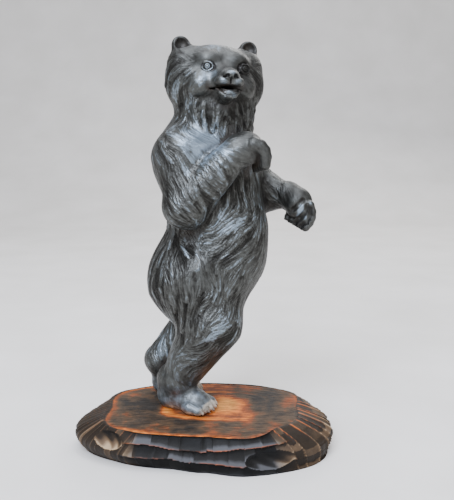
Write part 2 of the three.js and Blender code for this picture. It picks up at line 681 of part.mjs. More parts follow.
// The plinth: gouge cuts in two tiers along the front and back, and grooves that run down the two ends.
function plinth() {
  const tierSteps = [
    { rise: 0, sunk: 0 },
    { rise: 0.1, sunk: 0.1 },
    { rise: 0.16, sunk: 0.9 },
    { rise: 0.3, sunk: 1 },
    { rise: 0.5, sunk: 0.5 },
    { rise: 0.55, sunk: -0.1 },
    { rise: 0.6, sunk: 0.7 },
    { rise: 0.78, sunk: 0.8 },
    { rise: 1, sunk: 0 },
  ];
  const ends = 0.62; // the ends' share of the half turn at each end, in radians
  const atEnd = (angle) => Math.abs(Math.cos(angle)) > Math.cos(ends);
  const columns = [];
  let stroke = 0;
  for (let angle = 0; angle < 2 * Math.PI - 0.02; ) {
    const radius = roundTheSlab(angle, 0.45);
    if (atEnd(angle)) {
      columns.push({ angle, groove: columns.length % 2 });
      angle += GROOVE_WIDTH / 2 / radius;
    } else {
      const turn = GOUGE_STROKE / radius;
      const depth = 0.8 + 0.35 * Math.sin(2.4 * stroke);
      columns.push({ angle, depth }, { angle: angle + turn * 0.55, depth: depth * 1.15 });
      columns.push({ angle: angle + turn * 0.93, depth });
      angle += turn;
      stroke += 1;
    }
  }
  const points = tierSteps.flatMap(({ rise, sunk }) =>
    columns.map(({ angle, groove, depth }) => {
      const grooveDepth = Math.sin(Math.PI * Math.min(rise + 0.15, 1)) ** 0.5;
      const cut = groove === undefined ? sunk * depth : groove * grooveDepth;
      const radius = roundTheSlab(angle, rise) - GOUGE_DEPTH * cut;
      return [radius * Math.cos(angle), radius * Math.sin(angle), rise * PLINTH_THICKNESS];
    }),
  );
  const sides = columns.length;
  const faces = [];
  const cap = (first, turned) => {
    const outline = points.slice(first, first + sides).map(([x, y]) => new THREE.Vector2(x, y));
    for (const face of THREE.ShapeUtils.triangulateShape(outline, [])) {
      const [a, b, c] = face.map((v) => v + first);
      faces.push(turned ? [a, c, b] : [a, b, c]);
    }
  };
  cap(0, true);
  cap(sides * (tierSteps.length - 1), false);
  for (let level = 0; level + 1 < tierSteps.length; level += 1) {
    for (let i = 0; i < sides; i += 1) {
      const [a, b] = [level * sides + i, level * sides + ((i + 1) % sides)];
      faces.push([a, b, b + sides], [a, b + sides, a + sides]);
    }
  }
  const scorched = new THREE.MeshStandardMaterial({ color: 0x5a3a26, roughness: 0.7, metalness: 0 });
  const mesh = new THREE.Mesh(geometryOf({ points, faces }), scorched);
  mesh.name = "plinth";
  return mesh;
}

const group = new THREE.Group();
group.add(bear(), plinth());
export default group;
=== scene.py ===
# A standing bear, cast in spelter with a dark patina, on a gouge-carved and scorched wooden plinth.

import math

import bpy
import numpy as np
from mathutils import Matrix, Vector
from mathutils.kdtree import KDTree


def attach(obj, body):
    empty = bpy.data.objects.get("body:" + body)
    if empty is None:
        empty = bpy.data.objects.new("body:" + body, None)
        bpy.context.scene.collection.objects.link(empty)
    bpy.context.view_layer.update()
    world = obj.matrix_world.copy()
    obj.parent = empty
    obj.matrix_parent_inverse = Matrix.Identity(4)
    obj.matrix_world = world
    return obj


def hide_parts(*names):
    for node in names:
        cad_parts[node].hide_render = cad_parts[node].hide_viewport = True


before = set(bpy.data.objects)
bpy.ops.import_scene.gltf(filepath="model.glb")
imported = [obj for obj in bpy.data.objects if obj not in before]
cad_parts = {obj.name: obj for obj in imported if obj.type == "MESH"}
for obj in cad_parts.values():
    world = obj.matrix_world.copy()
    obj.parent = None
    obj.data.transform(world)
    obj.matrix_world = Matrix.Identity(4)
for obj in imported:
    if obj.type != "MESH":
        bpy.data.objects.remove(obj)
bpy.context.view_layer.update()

# The bear: its clay
# One hollow spelter casting. The sculptor's model is built up here as a field of round masses, laid on or
# cut out in turn. Lengths are hundredths of the bear's height, from a point on the plinth's top.
bear_height = 0.290
hundredth = bear_height / 100
millimetre = 0.001 / hundredth
bear_place = np.array([-0.004, 0.026, 0.029])
up = np.array([0.0, 0.0, 1.0])


def point(x, y, z):
    return np.array([x, y, z], dtype=float)


def heading(degrees):
    # 0 faces the front, 90 faces +X
    angle = math.radians(degrees)
    return point(math.sin(angle), -math.cos(angle), 0)


def facing(degrees, nod=0, lean=0):
    # forward, left and up of a mass that faces one way, nods and leans
    forward = heading(degrees)
    left = np.cross(up, forward)
    nod = math.radians(nod)
    lean = math.radians(lean)
    forward, top = (
        forward * math.cos(nod) + up * math.sin(nod),
        up * math.cos(nod) - forward * math.sin(nod),
    )
    left, top = (
        left * math.cos(lean) + top * math.sin(lean),
        top * math.cos(lean) - left * math.sin(lean),
    )
    return np.array([forward, left, top])


torso = facing(62)
head = facing(15, 4, -2.5)
head_middle = point(4.4, -1.5, 88.6)
clay = []
far_off = 50.0  # the field where no mass is near
felt_beyond = 2.5  # how far past its reach a mass is still asked for


def on_head(forward, left, rise):
    return head_middle + head[0] * forward + head[1] * left + head[2] * rise


def eyeball(side):
    return on_head(8.7, side * 4.7 + 0.5, 2)


def egg(middle, radii, axes, blend, cuts=False):
    # a ball stretched along three axes
    radii = np.array(radii, dtype=float)

    def distance(p):
        along = (p - middle) @ axes.T / radii
        inside = np.sqrt((along**2).sum(-1))
        slope = np.sqrt(((along / radii) ** 2).sum(-1))
        return inside * (inside - 1) / np.maximum(slope, 1e-9)

    clay.append((distance, blend, cuts, middle, radii.max()))


def cone(start, end, start_radius, end_radius, blend, cuts=False):
    # the skin over two balls of different size
    span = end - start
    length = np.linalg.norm(span)
    way = span / length
    shrink = start_radius - end_radius
    slant = math.sqrt(max(length**2 - shrink**2, 1e-9)) / length
    lean = shrink / length

    def distance(p):
        q = p - start
        along = q @ way
        aside = np.sqrt(np.maximum((q**2).sum(-1) - along**2, 0))
        shifted = np.clip((along - aside * -lean / slant) / length, 0, 1)
        foot = q - shifted[..., None] * span
        return np.sqrt((foot**2).sum(-1)) - (start_radius - shifted * shrink)

    middle = (start + end) / 2
    clay.append((distance, blend, cuts, middle, length / 2 + max(start_radius, end_radius)))


def bent_cone(start, past, end, start_radius, end_radius, blend, steps=4):
    # a bent limb, such as a finger: round cones along a curve
    def on_curve(t):
        return start * (1 - t) ** 2 + past * 2 * t * (1 - t) + end * t**2

    def radius(t):
        return start_radius + (end_radius - start_radius) * t

    for i in range(steps):
        a = i / steps
        b = (i + 1) / steps
        cone(on_curve(a), on_curve(b), radius(a), radius(b), blend)


def lay_torso():
    egg(point(3.0, 0, 64), (13.4, 12.4, 15), torso, 1)  # rib cage
    egg(point(-1.9, -0.5, 67.6), (10, 12.2, 10), torso, 5)  # shoulder hump
    egg(point(4.9, 0, 48.5), (14.4, 12.8, 15), torso, 6)  # belly
    egg(point(3.4, 0, 39.5), (14.6, 12.6, 10), torso, 5)  # lower belly
    egg(point(-0.4, 0, 35), (14.3, 13.1, 13), torso, 5)  # hips and rump
    cone(point(2.9, 0.4, 74), point(4.2, -0.3, 85), 10.4, 9.2, 5)  # neck


def lay_head():
    egg(head_middle, (10.2, 11.4, 8.6), head, 3)
    egg(on_head(-0.8, 0, 3), (8.4, 11.4, 5.8), head, 2)  # broad crown
    for side in (1, -1):
        egg(on_head(-1, side * 8.2, 4.3), (5, 4.3, 4.2), head, 2.5)  # corner below the ear
        egg(on_head(-0.6, side * 7.2, -1.2), (6.4, 6, 6.6), head, 3)  # cheek
        egg(on_head(6.4, side * 3.6, 4.2), (3.2, 3, 2), head, 2)  # brow
        egg(on_head(7.2, side * 5.4, -2.4), (3.2, 3.2, 3), head, 2)  # cheekbone
    cone(on_head(6.5, 0, -1), on_head(13.2, 0.1, -1.7), 5, 3.1, 1.8)  # muzzle
    egg(on_head(15.6, -0.1, -0.8), (1.9, 2.0, 1.15), head, 0.3)  # nose
    for side in (1, -1):
        egg(on_head(13.9, side * 1.7 + 0.1, -2.2), (2.9, 2, 1.3), head, 0.4)  # upper lip
    cone(on_head(5, 0, -4.8), on_head(12, 0.2, -5), 4.2, 1.8, 1.6)  # lower jaw
    egg(on_head(12.9, 0.1, -5), (2.5, 2.4, 1.35), head, 0.5)  # tip of the jaw
    lay_lower_lip()
    egg(on_head(12.4, 0.2, -3.5), (6, 4.6, 0.34), head, 0.25, cuts=True)  # the line of the mouth
    egg(on_head(15.2, 0, -3.6), (2.4, 1.8, 0.5), head, 0.25, cuts=True)  # open in the middle
    egg(on_head(16.8, -0.1, -2.3), (1.4, 0.18, 1), head, 0.2, cuts=True)  # groove under the nose
    for side in (1, -1):
        egg(on_head(17.1, side * 1.0 - 0.1, -1.1), (0.9, 0.5, 0.38), head, 0.12, cuts=True)  # nostril
        egg(on_head(16.6, side * 1.65 - 0.1, -1.4), (0.9, 0.5, 0.2), head, 0.12, cuts=True)  # its slit
        egg(on_head(10.1, side * 4.7 + 0.5, 2), (1.5, 1.6, 1.25), head, 0.7, cuts=True)  # eye socket
        egg(eyeball(side), (1.2, 1.2, 1.2), head, 0.1)
        lay_lids(eyeball(side), gaze_of(side))
        egg(on_head(-1.2, side * 9.2, 8.7), (1.9, 2.5, 2.4), head, 1.3)  # ear
        egg(on_head(0.7, side * 9.2, 8.9), (2.1, 1.85, 1.75), head, 0.4, cuts=True)  # its hollow


def lay_lower_lip():
    # a rim that hangs in a U between the corners of the mouth, with the tongue in it
    rim = [
        on_head(12.9, -2.8, -3.9),
        on_head(14.2, -2.2, -4.9),
        on_head(15.1, -1.0, -5.8),
        on_head(15.3, 0.3, -6),
        on_head(14.7, 1.6, -5.6),
        on_head(13.6, 2.5, -4.7),
        on_head(12.6, 2.9, -3.9),
    ]
    for start, end in zip(rim, rim[1:]):
        cone(start, end, 0.5, 0.5, 0.2)
    egg(on_head(13.6, 0.1, -4.7), (1.9, 1.6, 0.85), head, 0.15)


def gaze_of(side):
    # where an eye looks: ahead and a little outwards
    gaze = head[0] * 0.94 + head[1] * side * 0.3
    return gaze / np.linalg.norm(gaze)


def lay_lids(ball, gaze):
    # a low ring round the eyeball, pulled out to the two corners of the eye
    left = np.cross(up, gaze)
    top = np.cross(gaze, left)
    ring = []
    for i in range(12):
        angle = i / 12 * 2 * math.pi
        ring.append(ball + gaze * 0.7 + left * 1.4 * math.cos(angle) + top * 1.08 * math.sin(angle))
    for i in range(12):
        cone(ring[i - 1], ring[i], 0.26, 0.26, 0.12)


def lay_ruff():
    # pointed locks that hang over the neck in two layers, from behind each cheek to the throat
    layers = (
        (9, (-0.5, -6.4), (11, 9.6), 6, 1.5),
        (10, (-4.5, -9.4), (10.4, 8.9), 6.5, 1.3),
    )
    for locks, rise, out, drop, size in layers:
        for side in (1, -1):
            for i in range(locks):
                t = i / (locks - 1)
                uneven = math.sin(7.3 * i + locks + side)
                degrees = 15 + side * (115 - 107 * t)
                outwards = heading(degrees)
                sideways = heading(degrees + 90) * side
                root = head_middle + outwards * (out[0] + (out[1] - out[0]) * t - size)
                root = root + up * (rise[0] + (rise[1] - rise[0]) * t)
                end = root + outwards * size * 0.8 - up * drop * (1 + 0.3 * uneven)
                past = (root + end) / 2 + outwards * 0.5 - sideways * 0.8
                bent_cone(root, past, end - sideways * uneven * 0.8, size, 0.35, 0.8)
    # short points that stand out along the edge of each cheek
    for side in (1, -1):
        for i in range(5):
            root = on_head(-0.5, side * (11.7 + 0.2 * i), 3.4 - 1.15 * i)
            cone(root, root + head[1] * side - head[2] * 1.2 - head[0] * 0.4, 0.8, 0.3, 0.4)


def lay_paw(root, spread, knuckle, tip, claw):
    # five curled fingers side by side, each with a claw
    for i in range(5):
        start = root + spread * (i - 2)
        end = start + tip
        bent_cone(start, start + knuckle, end, 2.0, 1.3, 0.35)
        bent_cone(end, end + claw * 0.3 + up * 0.1, end + claw * 0.6, 0.75, 0.35, 0.25, steps=2)


def lay_arms():
    cone(point(-4.1, -8.4, 68.4), point(-2.8, -12, 57), 7.9, 5.8, 3)  # right upper arm
    cone(point(-3.2, -12.8, 56.4), point(9.9, -14.8, 70.4), 6, 4, 1.5)  # right forearm
    egg(point(12.2, -14.4, 71.2), (4.6, 4.2, 4.3), torso, 1.5)
    lay_paw(
        point(13.2, -14.6, 71.6),
        point(0.5, -1.4, 0.25),
        point(3.5, 0.2, -0.5),
        point(2.9, 0.4, -4.9),
        point(-1.1, 0.2, -1.6),
    )
    cone(point(8, 8.5, 65.8), point(17.2, 6.6, 58.6), 7.8, 6.4, 3)  # left upper arm
    cone(point(17.2, 6.6, 58.4), point(24.4, 2.4, 57.8), 6.2, 4.1, 1.5)  # left forearm
    egg(point(27.2, -0.2, 55.9), (3.8, 4.2, 4.4), torso, 1.5)
    lay_paw(
        point(27.4, -0.6, 56.2),
        point(1.05, -1, -0.55),
        point(1.4, -0.3, -3),
        point(-0.6, -0.5, -5.4),
        point(-1.9, -0.1, -0.9),
    )
    # the deep grooves between the fingers of the left paw
    for groove in (
        (point(28.1, -3.9, 57.1), point(26.8, -4.3, 55.7), point(25.3, -3.6, 54.4)),
        (point(29.3, -4.4, 55.9), point(28.6, -4.2, 53.8), point(27.2, -2.9, 51.8), point(26.1, -2, 50.5)),
        (point(30.1, -4.4, 54.7), point(29.9, -4.6, 52.9), point(29, -4.2, 51.2), point(27.6, -3.4, 49.9)),
    ):
        for start, end in zip(groove, groove[1:]):
            cone(start, end, 0.55, 0.55, 0.5, cuts=True)


def lay_foot(heel, degrees, share):
    # a hind foot, flat on the plinth, from the heel towards the toes
    forward = heading(degrees)
    left = np.cross(up, forward)

    def place(ahead, aside, rise):
        return heel + (forward * ahead + left * aside + up * rise) * share

    cone(place(0, 0, 7.5), place(0, 0, 3.8), 4.4 * share, 4 * share, 1.5)  # heel
    cone(place(0, 0, 3.4), place(7.4, 0, 2.6), 4 * share, 3.4 * share, 1.5)  # instep
    egg(place(7.6, 0, 1.6), (4 * share, 5 * share, 2.6 * share), np.array([forward, left, up]), 1)
    for i in range(5):
        aside = i - 2
        ahead = 10.4 - 0.28 * aside**2
        cone(
            place(ahead - 1.8, aside * 1.95, 2.1),
            place(ahead + 0.9, aside * 1.95, 1.5),
            1.5 * share,
            1.25 * share,
            0.4,
        )
        cone(place(ahead + 1.7, aside * 1.95, 1.7), place(ahead + 2.6, aside * 1.95, 0.9), 0.62, 0.36, 0.15)


def lay_legs():
    cone(point(-1, -6.5, 33), point(2.7, -9.2, 24.6), 11.1, 8.3, 7)  # right thigh
    cone(point(2.9, -9.2, 23.4), point(-5.8, -7.8, 8.2), 8.6, 5.3, 2)  # right shank
    lay_foot(point(-7.6, -6.9, 0), 63, 1)
    cone(point(3.2, 6, 33), point(0.9, 6, 23), 10.8, 7.8, 3)  # left thigh
    cone(point(0.6, 5.8, 22.4), point(-12, 4.2, 9.6), 7.4, 4.8, 2)  # left shank
    lay_foot(point(-10.8, 3.7, 0), 82, 0.86)


lay_torso()
lay_head()
lay_ruff()
lay_arms()
lay_legs()


def laid_on(d, p, masses):
    # the field once some masses are blended on or cut out, at points near them
    for distance, blend, cuts, middle, reach in masses:
        near = np.sqrt(((p - middle) ** 2).sum(-1)) < reach + blend + felt_beyond
        if not near.any():
            continue
        e = distance(p[near])
        old = d[near]
        if cuts:
            h = np.clip(0.5 - 0.5 * (old + e) / blend, 0, 1)
            d[near] = old * (1 - h) - e * h + blend * h * (1 - h)
        else:
            h = np.clip(0.5 + 0.5 * (e - old) / blend, 0, 1)
            joined = e * (1 - h) + np.minimum(old, far_off) * h - blend * h * (1 - h)
            d[near] = np.where(e > far_off, old, joined)
    return d


def field(p):
    # how far a point lies outside the skin, or below 0 inside it
    d = laid_on(np.full(len(p), far_off), p, clay)
    return np.maximum(d, -p[:, 2])


def unit(ways):
    return ways / np.maximum(np.linalg.norm(ways, axis=1), 1e-9)[:, None]


def laid_flat(ways, normals):
    # the ways turned to run along the skin
    return unit(ways - normals * (ways * normals).sum(1)[:, None])


def slope_of(p, step=0.12):
    # the way straight out of the skin
    slope = np.stack([field(p + axis * step) - field(p - axis * step) for axis in np.eye(3)], -1)
    return unit(slope)


def net_over(low, high, pitch):
    # the skin as a net: a vertex in each grid cell that it crosses, a quad across each crossed edge
    counts = np.ceil((high - low) / pitch).astype(int) + 1
    ticks = [low[i] + pitch * np.arange(counts[i]) for i in range(3)]
    value = np.full(counts, far_off)
    for mass in clay:
        blend, middle, reach = mass[1], mass[3], mass[4]
        margin = reach + blend + felt_beyond
        spans = []
        for i in range(3):
            first = max(int((middle[i] - margin - low[i]) / pitch), 0)
            last = min(int((middle[i] + margin - low[i]) / pitch) + 2, counts[i])
            spans.append(slice(first, max(last, first)))
        box = tuple(spans)
        places = np.stack(np.meshgrid(*[ticks[i][box[i]] for i in range(3)], indexing="ij"), -1)
        if places.size:
            old = value[box]
            value[box] = laid_on(old.ravel(), places.reshape(-1, 3), [mass]).reshape(old.shape)
    value = np.maximum(value, -ticks[2])
    inside = value < 0
    cells = counts - 1
    filled = np.zeros(cells, dtype=int)
    corners = np.array([(a, b, c) for a in (0, 1) for b in (0, 1) for c in (0, 1)])
    for a, b, c in corners:
        filled += inside[a : a + cells[0], b : b + cells[1], c : c + cells[2]]
    crossed = (filled > 0) & (filled < 8)
    number = np.full(cells, -1)
    number[crossed] = np.arange(crossed.sum())
    places = np.argwhere(crossed)
    total = np.zeros((len(places), 3))
    crossings = np.zeros(len(places))
    for i, start in enumerate(corners):
        for end in corners[i + 1 :]:
            if abs(end - start).sum() != 1:
                continue
            a = value[tuple((places + start).T)]
            b = value[tuple((places + end).T)]
            crosses = (a < 0) != (b < 0)
            share = np.where(crosses, a / np.where(crosses, a - b, 1), 0)
            total += crosses[:, None] * (start + (end - start) * share[:, None])
            crossings += crosses
    vertices = low + pitch * (places + total / crossings[:, None])
    quads = []
    for axis in range(3):
        along = np.eye(3, dtype=int)[axis]
        one = np.eye(3, dtype=int)[(axis + 1) % 3]
        two = np.eye(3, dtype=int)[(axis + 2) % 3]
        here = inside[: counts[0] - along[0], : counts[1] - along[1], : counts[2] - along[2]]
        there = inside[along[0] :, along[1] :, along[2] :]
        edges = np.argwhere(here != there)
        edges = edges[((edges - one - two) >= 0).all(1) & ((edges + one + two) < counts).all(1)]
        quad = np.stack([number[tuple((edges - step).T)] for step in (0 * one, one, one + two, two)], -1)
        outwards = inside[tuple(edges.T)]
        quads.append(np.where(outwards[:, None], quad, quad[:, ::-1]))
    quads = np.concatenate(quads)
    faces = np.concatenate([quads[:, [0, 1, 2]], quads[:, [0, 2, 3]]])
    return vertices, faces


def refined(vertices, faces, wanted):
    # each triangle in the wanted places is cut in four, and its neighbours are cut to match
    edges = np.sort(np.concatenate([faces[:, [0, 1]], faces[:, [1, 2]], faces[:, [2, 0]]]), 1)
    unique, which = np.unique(edges, axis=0, return_inverse=True)
    which = which.reshape(3, -1).T
    split = np.zeros(len(unique), dtype=bool)
    split[which[wanted[faces].any(1)].ravel()] = True
    middle = np.full(len(unique), -1)
    middle[split] = len(vertices) + np.arange(split.sum())
    vertices = np.concatenate([vertices, vertices[unique[split]].mean(1)])
    mids = middle[which]
    count = (mids >= 0).sum(1)
    parts = [faces[count == 0]]
    whole = count == 3
    a, b, c = faces[whole].T
    ab, bc, ca = mids[whole].T
    parts += [np.stack(t, -1) for t in ((a, ab, ca), (ab, b, bc), (ca, bc, c), (ab, bc, ca))]
    for turn in range(3):
        order = [(turn + i) % 3 for i in range(3)]
        a, b, c = faces[:, order].T
        ab, bc, ca = mids[:, order].T
        only_first = (count == 1) & (ab >= 0)
        parts += [np.stack(t, -1)[only_first] for t in ((a, ab, c), (ab, b, c))]
        all_but_last = (count == 2) & (ca < 0)
        parts += [np.stack(t, -1)[all_but_last] for t in ((ab, b, bc), (a, ab, bc), (a, bc, c))]
    return vertices, np.concatenate(parts)


def onto_skin(vertices, times=2):
    # points near the skin, moved onto it
    for _ in range(times):
        vertices = vertices - slope_of(vertices) * np.clip(field(vertices), -1, 1)[:, None]
    return vertices


skin, triangles = net_over(low=point(-20, -24, -0.77), high=point(36, 21, 103), pitch=0.49)
skin = onto_skin(skin)
# the net is cut finer over the face and the paws, then again over the eyes, the nose and the mouth
finer_places = (
    (
        (on_head(10, 0, -1), 10.5),
        (point(15, -14, 68), 7),
        (point(27, -2, 53), 7),
    ),
    (
        (on_head(9.5, 5.2, 2), 2.3),
        (on_head(9.5, -4.2, 2), 2.3),
        (on_head(16, 0, -1.8), 3),
        (on_head(14, 0, -4.8), 3.2),
    ),
)
for places in finer_places:
    wanted = np.zeros(len(skin), dtype=bool)
    for middle, reach in places:
        wanted |= np.linalg.norm(skin - middle, axis=1) < reach
    skin, triangles = refined(skin, triangles, wanted)
    skin = onto_skin(skin, 1)

# The bear: its fur
# The sculptor drew the fur with a modelling tool in rows of pointed strokes. Each place below says which way
# the hair points there, and the length, half width and depth of a stroke in millimetres. The locks laid
# here are twice as long and as wide as a stroke, and each lies over the root of the next.
lie = [
    (point(4, -10, 77), (-0.1, -0.1, -1), 18, 1.7, 0.8),  # throat
    (point(12, -6, 78), (0.1, -0.1, -1), 18, 1.7, 0.8),
    (point(-4, -6, 79), (-0.3, -0.1, -1), 18, 1.7, 0.8),
    (point(1.5, -12, 73), (0.9, -0.2, -0.3), 10, 1.4, 0.35),  # worn place on the chest
    (point(-6, -10, 71), (0.7, -0.2, -0.6), 15, 1.5, 0.6),  # right shoulder
    (point(-5, -16, 63), (0.5, -0.1, -0.9), 16, 1.5, 0.7),  # right upper arm
    (point(-3, -18, 55), (0.6, -0.1, -0.7), 13, 1.4, 0.7),  # right elbow
    (point(3, -18, 64), (0.7, 0, -0.7), 10, 1.3, 0.7),  # right forearm
    (point(12, -17, 72), (0.9, 0, -0.3), 7, 1.1, 0.25),  # right paw
    (point(17, -15, 69), (0.3, 0, -1), 5, 0.9, 0.08),
    (point(12, -9, 61), (0.1, 0, -1), 17, 1.6, 1.0),  # chest, under the raised paw
    (point(16, -7, 66), (0.3, 0, -1), 17, 1.6, 1.0),
    (point(10, -12, 51), (-0.8, -0.1, -0.6), 15, 1.5, 0.95),  # belly, right of its middle line
    (point(3, -13, 46), (-0.95, 0, -0.25), 15, 1.5, 0.9),
    (point(9, -11, 41), (-0.85, 0, -0.5), 15, 1.5, 0.85),
    (point(12, -9, 36), (-0.6, 0, -0.8), 12, 1.4, 0.6),
    (point(21, -2, 50), (0.1, -0.1, -1), 16, 1.6, 0.95),  # belly, middle line
    (point(18, 10, 48), (-0.5, 0.4, -0.7), 15, 1.5, 0.85),
    (point(-6, -13, 44), (0.4, 0, -0.9), 17, 1.6, 0.95),  # right flank
    (point(-2.5, -13, 46), (0.7, 0, -0.7), 14, 1.5, 0.9),
    (point(1.3, -14, 41.5), (0.1, 0, -1), 12, 1.4, 0.45),  # smoother ridge of the hip
    (point(2.6, -14.5, 37), (0, 0, -1), 12, 1.4, 0.55),
    (point(-14, -6, 38), (-0.1, 0, -1), 18, 1.6, 0.95),  # rump
    (point(-12, -8, 30), (0.35, -0.1, -0.93), 16, 1.6, 0.95),
    (point(4, -18, 33), (-0.5, 0, -0.87), 16, 1.5, 0.95),  # right thigh
    (point(8, -17, 25), (-0.85, 0, -0.5), 14, 1.4, 0.9),  # right knee
    (point(-4, -16, 25), (-0.2, 0, -1), 14, 1.5, 0.8),
    (point(-1, -14, 16), (-0.9, 0, -0.42), 12, 1.3, 0.6),  # right shank
    (point(4, -13, 14), (-0.7, 0, -0.7), 10, 1.2, 0.35),
    (point(-6, -12, 6), (0.2, 0, -1), 8, 1.1, 0.25),  # right heel
    (point(2, -10, 4), (0.9, -0.4, -0.3), 6, 1.0, 0.12),  # right foot
    (point(-12, 4, 16), (0.2, 0, -0.95), 12, 1.4, 0.6),  # left shank
    (point(-8, 5, 4), (1, 0, -0.3), 6, 1.0, 0.15),  # left foot
    (point(5, 14, 30), (-0.5, 0.1, -0.85), 16, 1.5, 0.9),  # left thigh
    (point(-14, 0, 62), (0, 0, -1), 19, 1.7, 0.95),  # back
    (point(-12, -6, 54), (0.1, 0, -1), 18, 1.7, 0.95),
    (point(-10, 10, 70), (-0.3, 0.5, -0.8), 17, 1.6, 0.9),
    (point(-4, 13, 48), (-0.2, 0.1, -0.97), 17, 1.6, 0.9),  # left flank
    (point(12, 10, 64), (0.5, 0.1, -0.8), 14, 1.5, 0.75),  # left upper arm
    (point(20, 3, 62), (0.6, -0.5, -0.5), 10, 1.3, 0.5),  # left forearm
    (point(20, 2, 55), (0.6, -0.5, -0.3), 10, 1.3, 0.6),
    (point(27, 0, 58), (0.4, -0.4, -0.9), 6, 1.0, 0.15),  # left paw
    (point(27, -2, 53), (0, -0.3, -1), 5, 0.9, 0.08),
]
for side in (1, -1):
    lie += [
        (on_head(12, side * 1.5, 3), -head[0], 5, 0.9, 0.08),  # bridge of the nose
        (on_head(13, side * 4, -1.5), side * head[1] - head[0], 5, 0.9, 0.1),  # muzzle
        (on_head(16, side * 2, 0), -head[0], 5, 0.9, 0.03),
        (on_head(12, side * 2.5, -8), -up - head[0], 8, 1.1, 0.35),  # chin
        (on_head(7, side * 2, 8), head[2] - head[0], 8, 1.0, 0.2),  # forehead
        (on_head(5, side * 6.5, 6), head[2] - head[0] + side * head[1], 8, 1.0, 0.25),
        (on_head(-2, side * 3, 9), -head[0], 11, 1.3, 0.4),  # crown
        (on_head(-10, side * 2, 1), -up, 16, 1.5, 0.8),  # back of the head
        (on_head(9, side * 5, 2), side * head[1] - up * 0.5, 5, 0.9, 0.05),  # round the eye
        (on_head(8.5, side * 6.5, -2.5), side * head[1] - up, 9, 1.1, 0.25),  # cheekbone
        (on_head(5.5, side * 9, 0), side * head[1] - head[0] * 0.6 - up * 0.7, 13, 1.3, 0.65),  # cheek
        (on_head(4.5, side * 8, -5.5), side * head[1] * 0.4 - up, 14, 1.4, 0.8),
        (on_head(-1, side * 11, -1), -up - head[0] * 0.4, 16, 1.5, 0.9),
        (on_head(-1, side * 9, 9.5), head[2], 4, 0.9, 0.1),  # ear
    ]
lie_places = np.array([entry[0] for entry in lie])
lie_ways = np.array([np.array(entry[1], dtype=float) / np.linalg.norm(entry[1]) for entry in lie])
lie_sizes = np.array([entry[2:] for entry in lie])


def lie_of(p):
    # the hair's way, length, half width and depth at some places, from the places named nearby
    gap = ((p[:, None, :] - lie_places) ** 2).sum(-1)
    share = 1 / (gap**2 + 1e-3)
    share = share / share.sum(1)[:, None]
    return share @ lie_ways, share @ lie_sizes


def combed(vertices, faces, cover, stretch, random):
    # the height of the locks that lie over the skin, from 0 between them to 1 on the ridge of one
    corners = vertices[faces]
    normals = np.cross(corners[:, 1] - corners[:, 0], corners[:, 2] - corners[:, 0])
    area = np.linalg.norm(normals, axis=1) / 2
    sizes = lie_of(corners.mean(1))[1]
    wish = area / (sizes[:, 0] * sizes[:, 1] * (stretch * millimetre) ** 2)
    count = int(cover * wish.sum())
    chosen = random.choice(len(faces), count, p=wish / wish.sum())
    share = random.dirichlet((1, 1, 1), count)
    p = (corners[chosen] * share[:, :, None]).sum(1)
    steps = 8
    bend = random.normal(0, 0.22, count)
    scale = random.uniform(0.7, 1.25, count)
    tree = KDTree(len(vertices))
    for i, vertex in enumerate(vertices):
        tree.insert(vertex, i)
    tree.balance()
    lift = random.uniform(0, 0.3, count)
    height = np.zeros(len(vertices))
    for step in range(steps):
        ways, sizes = lie_of(p)
        normal = slope_of(p)
        ways = laid_flat(ways, normal)
        aside = np.cross(normal, ways)
        ways = ways * np.cos(bend)[:, None] + aside * np.sin(bend)[:, None]
        aside = np.cross(normal, ways)
        along = sizes[:, 0] * stretch * millimetre * scale / steps
        share = (step + 0.5) / steps
        swell = 0.45 + 1.1 * share * (1 - share) ** 0.6
        width = sizes[:, 1] * stretch * millimetre * scale * swell
        rise = 0.3 + 0.7 * share**0.7
        middle = p + ways * (along / 2)[:, None]
        reach = np.sqrt(width**2 + (along / 2) ** 2) * 1.05
        found = [tree.find_range(place, limit) for place, limit in zip(middle, reach)]
        stroke = np.repeat(np.arange(count), [len(near) for near in found])
        vertex = np.array([hit[1] for near in found for hit in near], dtype=int)
        offset = vertices[vertex] - middle[stroke]
        ahead = (offset * ways[stroke]).sum(1)
        off_side = (offset * aside[stroke]).sum(1)
        across = np.abs(off_side) / width[stroke]
        inside = (across < 1) & (np.abs(ahead) < 0.55 * along[stroke])
        ridge = (1 - across**2) * rise * 0.7 + lift[stroke]
        np.maximum.at(height, vertex[inside], ridge[inside])
        p = p + ways * along[:, None]
        p = onto_skin(p, 1)
        bend = bend * 0.8
    return height


random = np.random.default_rng(7)
locks = combed(skin, triangles, cover=1.8, stretch=2, random=random)
ways, sizes = lie_of(skin)
depth = sizes[:, 2] * millimetre
normals = slope_of(skin)
relief = depth * (locks - 0.75)
standing = skin[:, 2] > 0.5  # the soles stay flat
hollow = np.clip(1 - field(skin + normals * 3) / 3, 0, 1)
crease = np.clip(1 - field(skin + normals * 0.8) / 0.8, 0, 1)
shaped = skin + normals * (relief * standing)[:, None]
carved = np.clip(sizes[:, 2] / 0.9, 0, 1)
tone = 0.5 + (0.45 * (locks - locks.mean()) - 0.12) * carved - 0.38 * crease
# the strokes sway a little to either side of the way the hair lies
combing = laid_flat(ways, normals)
sway = np.sin(skin @ (0.55, 0.4, 0.31)) + np.sin(skin @ (-0.37, 0.6, 0.62) + 2)
sway = sway + 0.7 * np.sin(skin @ (1.1, -0.7, 0.5))
combing = unit(combing + np.cross(normals, combing) * 0.22 * sway[:, None])
